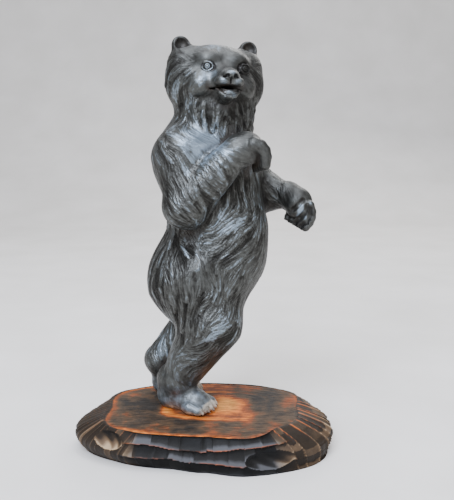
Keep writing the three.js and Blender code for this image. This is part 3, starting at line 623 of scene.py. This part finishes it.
# places where the patina is rubbed pale or painted lighter or darker: where, how wide, how much
# positive amounts are painted highlights, with some wear by hands; negative amounts are painted shade
rubbed_and_painted_light_places = (
    (point(1.9, -12, 72.7), 6.5, 1.15),  # chest
    (point(-5, -14, 67), 6, 0.35),  # right shoulder
    (point(8, -12, 78), 7, -0.25),  # throat
    (point(1.3, -14, 41.3), 2.4, 0.15),  # ridge of the hip
    (point(2.6, -14, 36.5), 2.6, 0.4),
    (point(-8, -11, 33), 5, -0.3),  # hip
    (point(-6, -13, 44), 4.5, 0.2),  # flank
    (point(-8, -14, 62), 5, -0.4),  # upper arm
    (point(0, -17, 28), 6.5, -0.4),  # thigh
    (point(9, -10, 53.5), 6, 0.4),  # belly
    (point(7, -18, 70.9), 3.5, 0.6),  # forearm
    (point(6.2, -17, 24), 5, 0.45),  # knee
    (point(-3, -12, 4), 9, 0.5),  # foot
    (point(-11, 2, 14.5), 5, 0.5),  # left shank
    (on_head(9.8, -4.4, 2), 1.6, 0.75),  # right eye
    (on_head(10.4, -2.6, -0.4), 2.2, 0.6),
    (on_head(9.5, -6, -1), 2.6, 0.5),  # cheek
    (on_head(11, 2.4, 2.4), 1.3, 0.55),  # beside the bridge of the nose
    (on_head(12, 0, 1.6), 1.7, -0.6),  # the bridge
    (on_head(9.5, 6.4, 1), 2.4, -0.35),  # left of the left eye
    (on_head(17, -0.1, 0), 1.1, 0.95),  # top of the nose
    (on_head(16.3, -1.8, -2.2), 1.2, 0.85),  # upper lip
    (on_head(16.3, 1.6, -2.2), 1.2, 0.85),
    (on_head(5, -2, 7), 5, 0.6),  # forehead
    (on_head(5, -9.5, -3), 4, 0.3),
    (on_head(14.8, 0, -5), 2, 0.95),  # tongue
    (point(27.4, -4.2, 56), 1, 1.0),  # fingers of the left paw
    (point(27.7, -4, 54.2), 1.1, 1.5),
    (point(28.7, -4.4, 52), 1.1, 1.5),
    (point(26.8, -3.2, 52.6), 0.9, 0.9),
    (point(29.8, -3.8, 56.2), 0.9, 0.7),
)
rubbed_and_painted_light = sum(
    amount * np.exp(-((np.linalg.norm(skin - middle, axis=1) / wide) ** 2))
    for middle, wide, amount in rubbed_and_painted_light_places
)

# bare, pale tan metal on the claws of the feet and along their lower edge
bare_metal = np.zeros(len(skin))
for heel, degrees, share in ((point(-7.6, -6.9, 0), 63, 1), (point(-10.8, 3.7, 0), 82, 0.86)):
    offset = (skin - heel) / share
    ahead = offset @ heading(degrees)
    aside = np.abs(offset @ heading(degrees + 90))
    rise = offset[:, 2]
    low_edge = np.clip((1.9 - rise) / 0.8, 0, 1) * np.clip((ahead + 1) / 2, 0, 1)
    claws = np.clip((ahead - 10.6) / 0.8, 0, 1) * (np.abs(rise - 1.6) < 1.4)
    # the dust over the foot also paints it evenly pale, a painted highlight from the light above
    dust_and_painted_light = 0.4 * np.clip((8 - rise) / 6, 0, 1) * np.clip((7 - aside) / 2, 0, 1)
    scuffs = np.maximum(low_edge, claws) * (aside < 7) * (rise < 4)
    bare_metal = np.maximum(bare_metal, np.maximum(scuffs, dust_and_painted_light) * (ahead < 15) * (ahead > -5))

# The bear: its eyes
# Each eyeball has an incised iris and a drilled pupil, both dark with dirt.
iris_radius = 0.85
pupil_radius = 0.34
for side in (1, -1):
    gaze = gaze_of(side)
    offset = shaped - eyeball(side)
    ahead = offset @ gaze
    aside = np.sqrt(np.maximum((offset**2).sum(1) - ahead**2, 0))
    on_ball = (ahead > 0) & (np.linalg.norm(offset, axis=1) < 1.5)
    iris = np.exp(-(((aside - iris_radius) / 0.13) ** 2)) * 0.14
    pupil = np.exp(-(((aside - pupil_radius) / 0.1) ** 2)) * 0.12
    shaped = shaped - gaze * ((iris + pupil) * on_ball)[:, None]
    tone = tone - 2.6 * (iris + pupil) * on_ball


def mesh_of(name, vertices, faces, attributes=()):
    # a smooth piece in the scene, with a value or a vector for each vertex under each label
    mesh = bpy.data.meshes.new(name)
    mesh.from_pydata(vertices.tolist(), [], faces)
    mesh.polygons.foreach_set("use_smooth", [True] * len(mesh.polygons))
    for label, values in attributes:
        is_vector = values.ndim == 2
        layer = mesh.attributes.new(label, "FLOAT_VECTOR" if is_vector else "FLOAT", "POINT")
        layer.data.foreach_set("vector" if is_vector else "value", values.astype(np.float32).ravel())
    mesh.update()
    piece = bpy.data.objects.new(name, mesh)
    bpy.context.scene.collection.objects.link(piece)
    return piece


bear = mesh_of(
    "bear_casting",
    shaped * hundredth + bear_place,
    triangles.tolist(),
    [
        ("tone", tone),
        ("hollow", hollow),
        ("carved", carved),
        ("rubbed_and_painted_light", rubbed_and_painted_light),
        ("combing", combing),
        ("bare_metal", bare_metal),
    ],
)
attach(bear, "root")
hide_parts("bear")


# The bear: its patina
# Zinc alloy darkened with a blue-black patina and waxed. Handling has brightened the raised hair to a bluish
# grey, brown dirt stays in the grooves and folds, and the feet are scuffed: old metal with a soft sheen.
# Highlights and shade are also painted into the patina, and the blue of its palest grey is a painted
# reflection of cool light.
def linear(colour):
    # a colour from its sRGB hex value
    levels = [int(colour[i : i + 2], 16) / 255 for i in (1, 3, 5)]
    return [v / 12.92 if v <= 0.04045 else ((v + 0.055) / 1.055) ** 2.4 for v in levels] + [1.0]


def new_material(name):
    material = bpy.data.materials.new(name)
    material.use_nodes = True
    material.node_tree.nodes.clear()
    return material, material.node_tree


def add(kind, links=(), stops=(), output=0, **settings):
    # a node in the tree that is current, with its settings, its colour stops if it has them, and the sockets
    # or values that its inputs take: what comes back is its first output, or the one asked for
    node = tree.nodes.new("ShaderNode" + kind)
    for name, value in settings.items():
        setattr(node, name, value)
    if stops:
        elements = node.color_ramp.elements
        while len(elements) < len(stops):
            elements.new(0.5)
        for element, (stop, colour) in zip(elements, stops):
            element.position = stop
            element.color = linear(colour)
    for name, source in dict(links).items():
        if isinstance(source, bpy.types.NodeSocket):
            tree.links.new(source, node.inputs[name])
        else:
            node.inputs[name].default_value = source
    return node.outputs[output] if len(node.outputs) else None


colours = {"output": "Result", "data_type": "RGBA"}  # for a mix of two colours
material, tree = new_material("patinated_spelter")
place = add("NewGeometry")
combing_place = add("Attribute", output="Vector", attribute_name="combing")
tone_place, hollow_place, carved_place, rubbed_and_painted_light_place, bare_metal_place = [
    add("Attribute", output="Fac", attribute_name=label)
    for label in ("tone", "hollow", "carved", "rubbed_and_painted_light", "bare_metal")
]


def smeared(grain_size, samples, spacing):
    # a cloudy grain smeared along the way the hair lies: strokes side by side, sizes in metres
    total = 0.0
    for i in range(samples):
        step = (i - (samples - 1) / 2) * spacing
        links = {0: combing_place, 1: (step,) * 3, 2: place}
        moved = add("VectorMath", links, operation="MULTIPLY_ADD")
        speck = add("TexNoise", {"Vector": moved, "Scale": 1 / grain_size, "Detail": 0.0})
        total = add("Math", {0: speck, 1: total}, operation="ADD")
    return add("Math", {0: total, 1: float(samples)}, operation="DIVIDE")


# strokes of the modelling tool 1.5 mm wide and 12 mm long, with single hairs 0.9 mm wide in them
strokes = smeared(0.0015, 10, 0.0012)
strokes = add("MapRange", {"Value": strokes, "From Min": 0.45, "From Max": 0.55})
hairs = smeared(0.0009, 7, 0.0008)
hairs = add("MapRange", {"Value": hairs, "From Min": 0.43, "From Max": 0.57})
hair = add("Math", {0: hairs, 1: 0.4, 2: strokes}, operation="MULTIPLY_ADD")
hair = add("Math", {0: hair, 1: carved_place}, operation="MULTIPLY")
# the patina took unevenly in clouds 25 mm across, the cast skin has a grain under 1 mm, and wax and dirt
# lie in blotches of 4 mm
uneven_patina = add("TexNoise", {"Vector": place, "Scale": 40.0, "Detail": 5.0})
cast_grain = add("TexNoise", {"Vector": place, "Scale": 1500.0, "Detail": 3.0})
blotches = add("TexNoise", {"Vector": place, "Scale": 260.0, "Detail": 4.0})
# patina worn to bright metal on the raised hair, in blotches, where hands rub; plus painted light and shade
wear_and_painted_light = tone_place
for source, share in ((hair, 0.2), (blotches, 0.3), (rubbed_and_painted_light_place, 0.36)):
    wear_and_painted_light = add("Math", {0: source, 1: share, 2: wear_and_painted_light}, operation="MULTIPLY_ADD")
# the palest stop is painted blue, a reflection of cool light on the brightest places
patina_stops = [(0.3, "#141310"), (0.55, "#2f2e2b"), (0.78, "#525350"), (1.0, "#8795a1")]
patina = add("ValToRGB", {"Fac": wear_and_painted_light}, patina_stops)
brown_dirt = add("ValToRGB", {"Fac": uneven_patina}, [(0.35, "#3a3128"), (0.65, "#2c2f33")])
links = {"Value": hollow_place, "From Min": 0.3, "From Max": 0.85, "To Max": 0.7}
dirt = add("MapRange", links)
colour = add("Mix", {"Factor": dirt, "A": patina, "B": brown_dirt}, **colours)
# the feet are scuffed in specks: dust above, painted bluish as a highlight, bare tan metal on claws and
# lower edge
links = {"Value": blotches, "From Min": 0.4, "From Max": 0.55, "To Min": 0.45, "To Max": 0.95}
specks = add("MapRange", links)
scuffed = add("Math", {0: bare_metal_place, 1: specks}, operation="MULTIPLY", use_clamp=True)
scuff_colour = add("ValToRGB", {"Fac": bare_metal_place}, [(0.4, "#8b97a1"), (0.85, "#a89d8c")])
colour = add("Mix", {"Factor": scuffed, "A": colour, "B": scuff_colour}, **colours)
metallic = add("MapRange", {"Value": dirt, "To Min": 0.85, "To Max": 0.35})
metallic = add("Math", {0: metallic, 1: scuffed}, operation="SUBTRACT", use_clamp=True)
links = {"Value": wear_and_painted_light, "From Min": 0.3, "From Max": 1.0, "To Min": 0.6, "To Max": 0.4}
roughness = add("MapRange", links)
hair_bump = add("Bump", {"Height": hair, "Strength": 1.0, "Distance": 0.0004})
links = {"Height": cast_grain, "Strength": 0.2, "Distance": 0.0002, "Normal": hair_bump}
bump = add("Bump", links)
links = {"Base Color": colour, "Metallic": metallic, "Roughness": roughness, "Normal": bump}
add("OutputMaterial", {"Surface": add("BsdfPrincipled", links)})
bear.data.materials.append(material)

# The plinth
# A slab of pine with rounded ends, cut all round with a gouge and scorched with a torch: charred black on
# its sides, and on top in bands that follow the growth rings, with bare orange wood between them.
plinth_length = 0.210
plinth_depth = 0.118
plinth_thickness = 0.029
oval_power = 2.4
# the outline at the foot, the widest level and the top, every 30 degrees from the right end: the same
# shares as in the solid
plinth_levels = (
    (0.0, (0.93, 0.9, 0.86, 0.86, 0.84, 0.82, 0.93, 0.81, 0.8, 0.88, 1, 0.99)),
    (0.45, (0.99, 1, 1, 0.98, 0.96, 0.9, 1, 0.93, 0.91, 0.96, 1.02, 1.01)),
    (1.0, (0.72, 0.87, 0.91, 0.93, 0.91, 0.87, 0.735, 0.87, 0.885, 0.91, 0.99, 0.79)),
)
widest_rise = plinth_levels[1][0]
gouge_width = 0.0115
right_flute_width = 0.0105
left_flute_width = 0.0056


def share_at(shares, angle):
    # the share of the oval at an angle, eased from one to the next
    turn = angle / (2 * math.pi) * len(shares)
    first = np.floor(turn).astype(int)
    t = turn - first
    t = t * t * (3 - 2 * t)
    shares = np.array(shares)
    return shares[first % len(shares)] * (1 - t) + shares[(first + 1) % len(shares)] * t


def round_the_slab(angle, rise):
    # the radius of the uncut slab
    across = (np.abs(np.cos(angle)) / (plinth_length / 2)) ** oval_power
    back = (np.abs(np.sin(angle)) / (plinth_depth / 2)) ** oval_power
    oval = (across + back) ** (-1 / oval_power)
    foot, widest, top = [share_at(shares, angle) for _, shares in plinth_levels]
    lower = np.sin(np.clip(rise / widest_rise, 0, 1) * math.pi / 2)
    upper = 1 - np.cos(np.clip((rise - widest_rise) / (1 - widest_rise), 0, 1) * math.pi / 2)
    below = foot + (widest - foot) * lower
    above = widest + (top - widest) * upper
    return oval * np.where(rise < widest_rise, below, above)


def wave(x, seed):
    # a smooth wandering line between -1 and 1
    slow = np.sin(x * 2.3 + seed) + np.sin(x * 5.1 + 1.7 * seed)
    return (slow + 0.6 * np.sin(x * 11.7 + 2.9 * seed)) / 2.6


def chance(n, seed):
    # a fixed number between 0 and 1 for each whole number
    return np.modf(np.abs(np.sin(n * 12.9898 + seed * 78.233) * 43758.5453))[0]


def gouged(across, width, seed):
    # facets side by side: the place in each, from 0 to 1, and the number of the one it is in
    turn = across / width + 0.35 * wave(across / width * 0.7, seed)
    number = np.floor(turn)
    return turn - number, number


around = 900
up_steps = 54
angle = np.linspace(0, 2 * math.pi, around, endpoint=False)[None, :]
rise = np.linspace(0, 1, up_steps)[:, None]
widest_radius = round_the_slab(angle, np.full_like(angle, widest_rise))
walk = np.cumsum(widest_radius * 2 * math.pi / around, axis=1)
radius = round_the_slab(angle + 0 * rise, rise + 0 * angle)
end = np.clip((np.abs(np.cos(angle)) - 0.72) / 0.12, 0, 1)
cut = np.zeros_like(radius)
painted_facet_light = np.zeros_like(radius)
edge = np.zeros_like(radius)


def ledge_step(level):
    # a ledge between two rows wanders, and steps a little from one cut to the next
    return 0.09 * wave(walk * 15, level + 3) + 0.07 * chance(np.floor(walk / 0.013), level + 3)


# front and back: three rows of cuts, with the levels between them, the depth and the painted shade of each
row_levels = (-0.02, 0.3, 0.66, 1.0)
row_depths = (0.0048, 0.0042, 0.0028)
row_painted_shade = (-0.58, -0.08, -0.06)
for row in range(3):
    low = row_levels[row] + (ledge_step(row) if row > 0 else 0)
    high = row_levels[row + 1] + (ledge_step(row + 1) if row < 2 else 0)
    share = (rise - low) / (high - low)
    inside = (share >= 0) & (share < 1)
    across, number = gouged(walk, gouge_width, row * 2.1)
    deep = row_depths[row] * (0.75 + 0.5 * chance(number, row + 1))
    # deepest under the ledge of the row above
    ledge = np.clip((1 - share) / 0.14, 0, 1)
    scoop = np.clip(share, 0, 1) ** 0.75 * np.sqrt(ledge)
    rounded = 0.0006 * (1 - (2 * across - 1) ** 2)
    tilted = 0.002 * (chance(number, row + 9) - 0.5) * (across - 0.5)
    cut = np.where(inside, deep * scoop + rounded + tilted, cut)
    # painted light and shade: dark under the ledge above, lighter towards the upward-facing foot, random per
    # facet
    painted_facet_light = np.where(inside, 0.5 * chance(number, row + 5) + 0.7 * (1 - share) + row_painted_shade[row], painted_facet_light)
    edge = np.where(inside, np.clip(1 - share / 0.1, 0, 1) * (row > 0), edge)
# the two ends: narrow flutes on the left, wider ones with short facets on the right
right_end = np.cos(angle) > 0
wide_flute, wide_number = gouged(walk - 0.008 * (1 - rise), right_flute_width, 4.0)
narrow_flute, narrow_number = gouged(walk + 0.012 * (1 - rise), left_flute_width, 6.0)
flute = np.where(right_end, wide_flute, narrow_flute)
number = np.where(right_end, wide_number, narrow_number)
# each short facet ends in a curved edge, as a gouge leaves it
scallop = 0.003 * np.sin(math.pi * flute) + 0.006 * chance(number, 2)
step_number = gouged(rise * plinth_thickness * 1.4 + scallop, 0.0085, 1.0)[1]
flute_depth = np.where(right_end, 0.0026, 0.0014)
fluting = flute_depth * np.sqrt(np.maximum(1 - (2 * flute - 1) ** 2, 0))
stepping = np.where(right_end, 0.0012 * chance(step_number + 3 * number, 4), 0)
end_cut = (fluting + 0.0006 + stepping) * np.sin(math.pi * np.clip(rise * 0.85 + 0.12, 0, 1)) ** 0.5
cut = cut * (1 - end) + end_cut * end
ridge = np.clip(1 - fluting / (0.55 * flute_depth), 0, 1)
near_top = np.clip(rise * 2.2 - 1, 0, 1) * np.clip(rise * 4 - 2.7, 0, 1)
edge = edge * (1 - end) + ridge * near_top * np.where(right_end, 2.2, 0.5) * end
uneven = np.where(right_end, chance(step_number + 3 * number, 7), chance(number, 7) * 0.6 + 0.1)
# painted light: lighter on the ridges between the flutes, and lighter or darker at random from facet to
# facet
painted_facet_light = painted_facet_light * (1 - end) + (0.1 + 0.45 * ridge + 0.36 * uneven) * end
# two places where the gouge slipped deeper: a notch on the left of the front and a long scoop on the right
for at_angle, at_rise, half_angle, half_rise, deep in (
    (math.radians(209), 0.68, 0.13, 0.24, 0.006),
    (math.radians(312), 0.36, 0.24, 0.26, 0.0055),
):
    sideways = (angle - at_angle) / half_angle
    upwards = (rise - at_rise) / half_rise
    bowl = 1 - sideways**2 - upwards**2
    deeper = bowl > 0
    ripple = np.sin(sideways * 9 + 5 * upwards)
    hollowed = np.maximum(cut, deep * np.sqrt(np.maximum(bowl, 0))) + 0.0003 * ripple
    cut = np.where(deeper, hollowed, cut)
    # painted shade on the upper part of each hollow, and a painted highlight round its rim
    lit_rim = 0.2 * (1 - np.clip(bowl * 4, 0, 1))
    painted_facet_light = np.where(deeper, 0.33 - 0.5 * upwards + 0.12 * ripple + lit_rim, painted_facet_light)
    edge = np.where(deeper, 0, edge)
# the cuts run out at the foot, and the upper edge is a little rounded
foot_fade = np.clip(rise / 0.02, 0, 1)
top_fade = np.clip((1 - rise) / 0.02, 0, 1) ** 0.5
radius = radius - cut * foot_fade - 0.0008 * (1 - top_fade)
side_points = np.stack(
    [radius * np.cos(angle), radius * np.sin(angle), rise * plinth_thickness + 0 * angle], -1
).reshape(-1, 3)

# the top, in rings from its rim to the middle of the growth rings, and the flat underside
heart = np.array([0.022, 0.012])
rings = 46
rim = side_points[-around:]
ring_share = (1 - np.arange(1, rings) / rings)[:, None]
flat_top = heart + (rim[None, :, :2] - heart) * ring_share[..., None]
grain_line = 0.00006 * np.sin(ring_share * 60 + 3 * wave(angle * 1.0, 5)) - 0.0001
near_rim = 0.0012 * np.clip((ring_share - 0.9) / 0.1, 0, 1) ** 2
chipped = 0.4 + 0.6 * chance(np.floor(walk / 0.011), 3)
top_rise = plinth_thickness + grain_line - near_rim * chipped
top_points = np.concatenate([flat_top, top_rise[..., None]], -1).reshape(-1, 3)
underside_share = np.array([0.66, 0.33])[:, None, None]
underside = side_points[None, :around, :2] * underside_share
underside_points = np.concatenate([underside, np.zeros((2, around, 1))], -1).reshape(-1, 3)
middles = [[*heart, plinth_thickness - 0.0002], [0, 0, 0]]
plinth_points = np.concatenate([side_points, top_points, underside_points, middles])

# how much orange wood the flame left bare: round the heart, in a ring on the left, along the front rim, at
# the back, and in a glow to the right of the near foot
leftwards = 0.5 - 0.5 * np.cos(angle)
frontwards = np.clip(-np.sin(angle) * 1.6, 0, 1)
backwards = np.clip(np.sin(angle) * 1.6, 0, 1)
bare = 0.8 * np.exp(-((ring_share / 0.24) ** 2)) + 0 * angle
bare += 0.75 * np.exp(-(((ring_share - 0.52) / 0.055) ** 2)) * (0.15 + 0.85 * leftwards)
front_left = frontwards * np.clip(leftwards * 1.9, 0, 1)
bare += 0.6 * np.exp(-(((ring_share - 1.0) / 0.05) ** 2)) * np.maximum(front_left, 0.7 * leftwards)
bare += 0.2 * backwards * np.clip(ring_share * 2 - 0.5, 0, 1) * (0.7 + 0.3 * np.sin(ring_share * 40))
glow = ((flat_top[..., 0] - 0.012) / 0.02) ** 2 + ((flat_top[..., 1] + 0.008) / 0.014) ** 2
bare += 0.5 * np.exp(-glow)
bare += 0.12

row_count = up_steps + rings - 1
slab_rows = [np.arange(around) + around * i for i in range(row_count)]
quads = []
for low_row, high_row in zip(slab_rows, slab_rows[1:]):
    quads.append(np.stack([low_row, np.roll(low_row, -1), np.roll(high_row, -1), high_row], -1))
under_rows = [slab_rows[0], slab_rows[0] + around * row_count, slab_rows[0] + around * (row_count + 1)]
for outer, inner in zip(under_rows, under_rows[1:]):
    quads.append(np.stack([outer, inner, np.roll(inner, -1), np.roll(outer, -1)], -1))
heart_number = len(plinth_points) - 2
last = slab_rows[-1]
inner = under_rows[-1]
top_fan = np.stack([last, np.roll(last, -1), np.full(around, heart_number)], -1)
under_fan = np.stack([inner, np.full(around, heart_number + 1), np.roll(inner, -1)], -1)


def over_the_slab(on_side, on_top, underneath=0.0, at_heart=0.0):
    # a value for each vertex, in the order of plinth_points
    side_values = (on_side + 0 * radius).ravel()
    top_values = (on_top + 0 * bare).ravel()
    return np.concatenate([side_values, top_values, np.full(2 * around, underneath), [at_heart, underneath]])


plinth = mesh_of(
    "plinth_wood",
    plinth_points,
    np.concatenate(quads).tolist() + top_fan.tolist() + under_fan.tolist(),
    [
        ("side", over_the_slab(1.0, 0.0, 1.0)),
        ("edge", over_the_slab(edge, 0.0)),
        ("facet", over_the_slab(painted_facet_light, 0.0)),
        ("bare", over_the_slab(0.0, bare, 0.0, 1.1)),
        ("end", over_the_slab(end, 0.0)),
    ],
)
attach(plinth, "root")
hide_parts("plinth")

# Scorched pine: matt black char that shows the edge of each cut in bare orange, and orange wood on top under
# a brown scorch, with its fibres. Light and shade are painted on the facets of the cuts.
material, tree = new_material("scorched_wood")
place = add("NewGeometry")
side_place, edge_place, painted_facet_light_place, bare_place, end_place = [
    add("Attribute", output="Fac", attribute_name=label)
    for label in ("side", "edge", "facet", "bare", "end")
]
# the flame wandered across the rings, in patches 40 mm across with 3 mm fringes
patches = add("TexNoise", {"Vector": place, "Scale": 26.0, "Detail": 8.0, "Roughness": 0.68})
links = {"Value": patches, "From Min": 0.3, "From Max": 0.7, "To Min": -0.38, "To Max": 0.38}
wander = add("MapRange", links)
bareness = add("Math", {0: wander, 1: bare_place}, operation="ADD")
scorch_stops = [(0.0, "#2f2a25"), (0.22, "#54412f"), (0.42, "#8a4724"), (0.62, "#cf702d"), (1.0, "#dd9444")]
scorched_top = add("ValToRGB", {"Fac": bareness}, scorch_stops)
# fibres along the slab, 1 mm apart and 8 mm long
stretched = add("Mapping", {"Vector": place, "Scale": (120.0, 900.0, 120.0)})
fibres = add("TexNoise", {"Vector": stretched, "Scale": 1.0, "Detail": 4.0})
fibre_tone = add("ValToRGB", {"Fac": fibres}, [(0.35, "#6a6a6a"), (0.62, "#ffffff")])
links = {"Factor": 0.75, "A": scorched_top, "B": fibre_tone}
top_colour = add("Mix", links, **colours, blend_type="MULTIPLY")
# the two ends were brushed back after the flame, to grey brown
# the painted light and shade of the facets, with the flame's patches, lighten and darken the char and the
# ends
lightness = add("Math", {0: patches, 1: 0.5, 2: painted_facet_light_place}, operation="MULTIPLY_ADD")
charred_stops = [(0.25, "#040404"), (0.6, "#0e0d0c"), (0.85, "#201f1e"), (1.0, "#4a4a4c")]
charred = add("ValToRGB", {"Fac": lightness}, charred_stops)
brushed_stops = [(0.25, "#0d0a08"), (0.55, "#2b2219"), (0.8, "#634f3b"), (1.0, "#9f886a")]
brushed = add("ValToRGB", {"Fac": lightness}, brushed_stops)
side_colour = add("Mix", {"Factor": end_place, "A": charred, "B": brushed}, **colours)
unburnt = add("MapRange", {"Value": patches, "From Min": 0.42, "From Max": 0.6})
unburnt = add("Math", {0: edge_place, 1: unburnt}, operation="MULTIPLY", use_clamp=True)
links = {"Factor": unburnt, "A": side_colour, "B": linear("#a8541f")}
side_colour = add("Mix", links, **colours)
colour = add("Mix", {"Factor": side_place, "A": top_colour, "B": side_colour}, **colours)
specks = add("TexNoise", {"Vector": place, "Scale": 900.0, "Detail": 3.0})
rough_height = add("Math", {0: fibres, 1: specks}, operation="ADD")
bump = add("Bump", {"Height": rough_height, "Strength": 0.5, "Distance": 0.0003})
roughness = add("MapRange", {"Value": side_place, "To Min": 0.62, "To Max": 0.55})
links = {"Base Color": colour, "Roughness": roughness, "Normal": bump, "Specular IOR Level": 0.16}
add("OutputMaterial", {"Surface": add("BsdfPrincipled", links)})
plinth.data.materials.append(material)

# The floor
# A plain pale studio sheet that sweeps up behind the figure, with the faint mottling of paper.
bend_start = 1.2
bend_radius = 0.9
sweep = [(-3, 0), (bend_start, 0)]
for i in range(1, 25):
    turn = i / 24 * math.pi / 2
    sweep.append((bend_start + math.sin(turn) * bend_radius, bend_radius - math.cos(turn) * bend_radius))
sweep.append((bend_start + bend_radius, 4))
floor_points = np.array([(x, y, z) for y, z in sweep for x in (-3, 3)])
floor_faces = [[2 * i, 2 * i + 1, 2 * i + 3, 2 * i + 2] for i in range(len(sweep) - 1)]
floor = mesh_of("floor", floor_points, floor_faces)
material, tree = new_material("pale_paper")
place = add("NewGeometry")
mottle = add("TexNoise", {"Vector": place, "Scale": 9.0, "Detail": 6.0})
paper = add("ValToRGB", {"Fac": mottle}, [(0.3, "#d3cfc8"), (0.7, "#dedad4")])
shader = add("BsdfPrincipled", {"Base Color": paper, "Roughness": 0.8})
add("OutputMaterial", {"Surface": shader})
floor.data.materials.append(material)

# The light
# Pale, even studio light: a large cool sheet of light high on the left, one overhead, a small one on the
# right, and one behind for the outline.
world = bpy.data.worlds.new("studio")
bpy.context.scene.world = world
world.use_nodes = True
world.node_tree.nodes["Background"].inputs["Color"].default_value = linear("#ebe9e6")
world.node_tree.nodes["Background"].inputs["Strength"].default_value = 0.5
middle_of_bear = Vector((0, 0, 0.16))


def light(name, spot, width, height, power, colour):
    lamp = bpy.data.lights.new(name, "AREA")
    lamp.shape = "RECTANGLE"
    lamp.size = width
    lamp.size_y = height
    lamp.energy = power
    lamp.color = linear(colour)[:3]
    holder = bpy.data.objects.new(name, lamp)
    holder.location = spot
    aim = middle_of_bear - Vector(spot)
    holder.rotation_euler = aim.to_track_quat("-Z", "Y").to_euler()
    bpy.context.scene.collection.objects.link(holder)


light("key", (-0.45, -1.1, 1.25), 1.1, 1.1, 60, "#e3ecff")
light("top", (0, 0.1, 1.7), 1.6, 1.6, 42, "#edf2ff")
light("fill", (1.3, -0.8, 0.7), 0.6, 0.9, 7, "#f3f5ff")
light("rim", (0.5, 1.4, 1.0), 0.9, 0.6, 10, "#ffffff")

# The camera
# It looks down 10 degrees from straight in front, a little to the right of the middle.
looks_down = 10
camera = bpy.data.cameras.new("camera")
camera.lens = 48.96
camera.sensor_width = 36
camera_holder = bpy.data.objects.new("camera", camera)
camera_holder.location = (0.0178, -0.516, 0.2485)
camera_holder.rotation_euler = (math.radians(90 - looks_down), 0, 0)
bpy.context.scene.collection.objects.link(camera_holder)
bpy.context.scene.camera = camera_holder
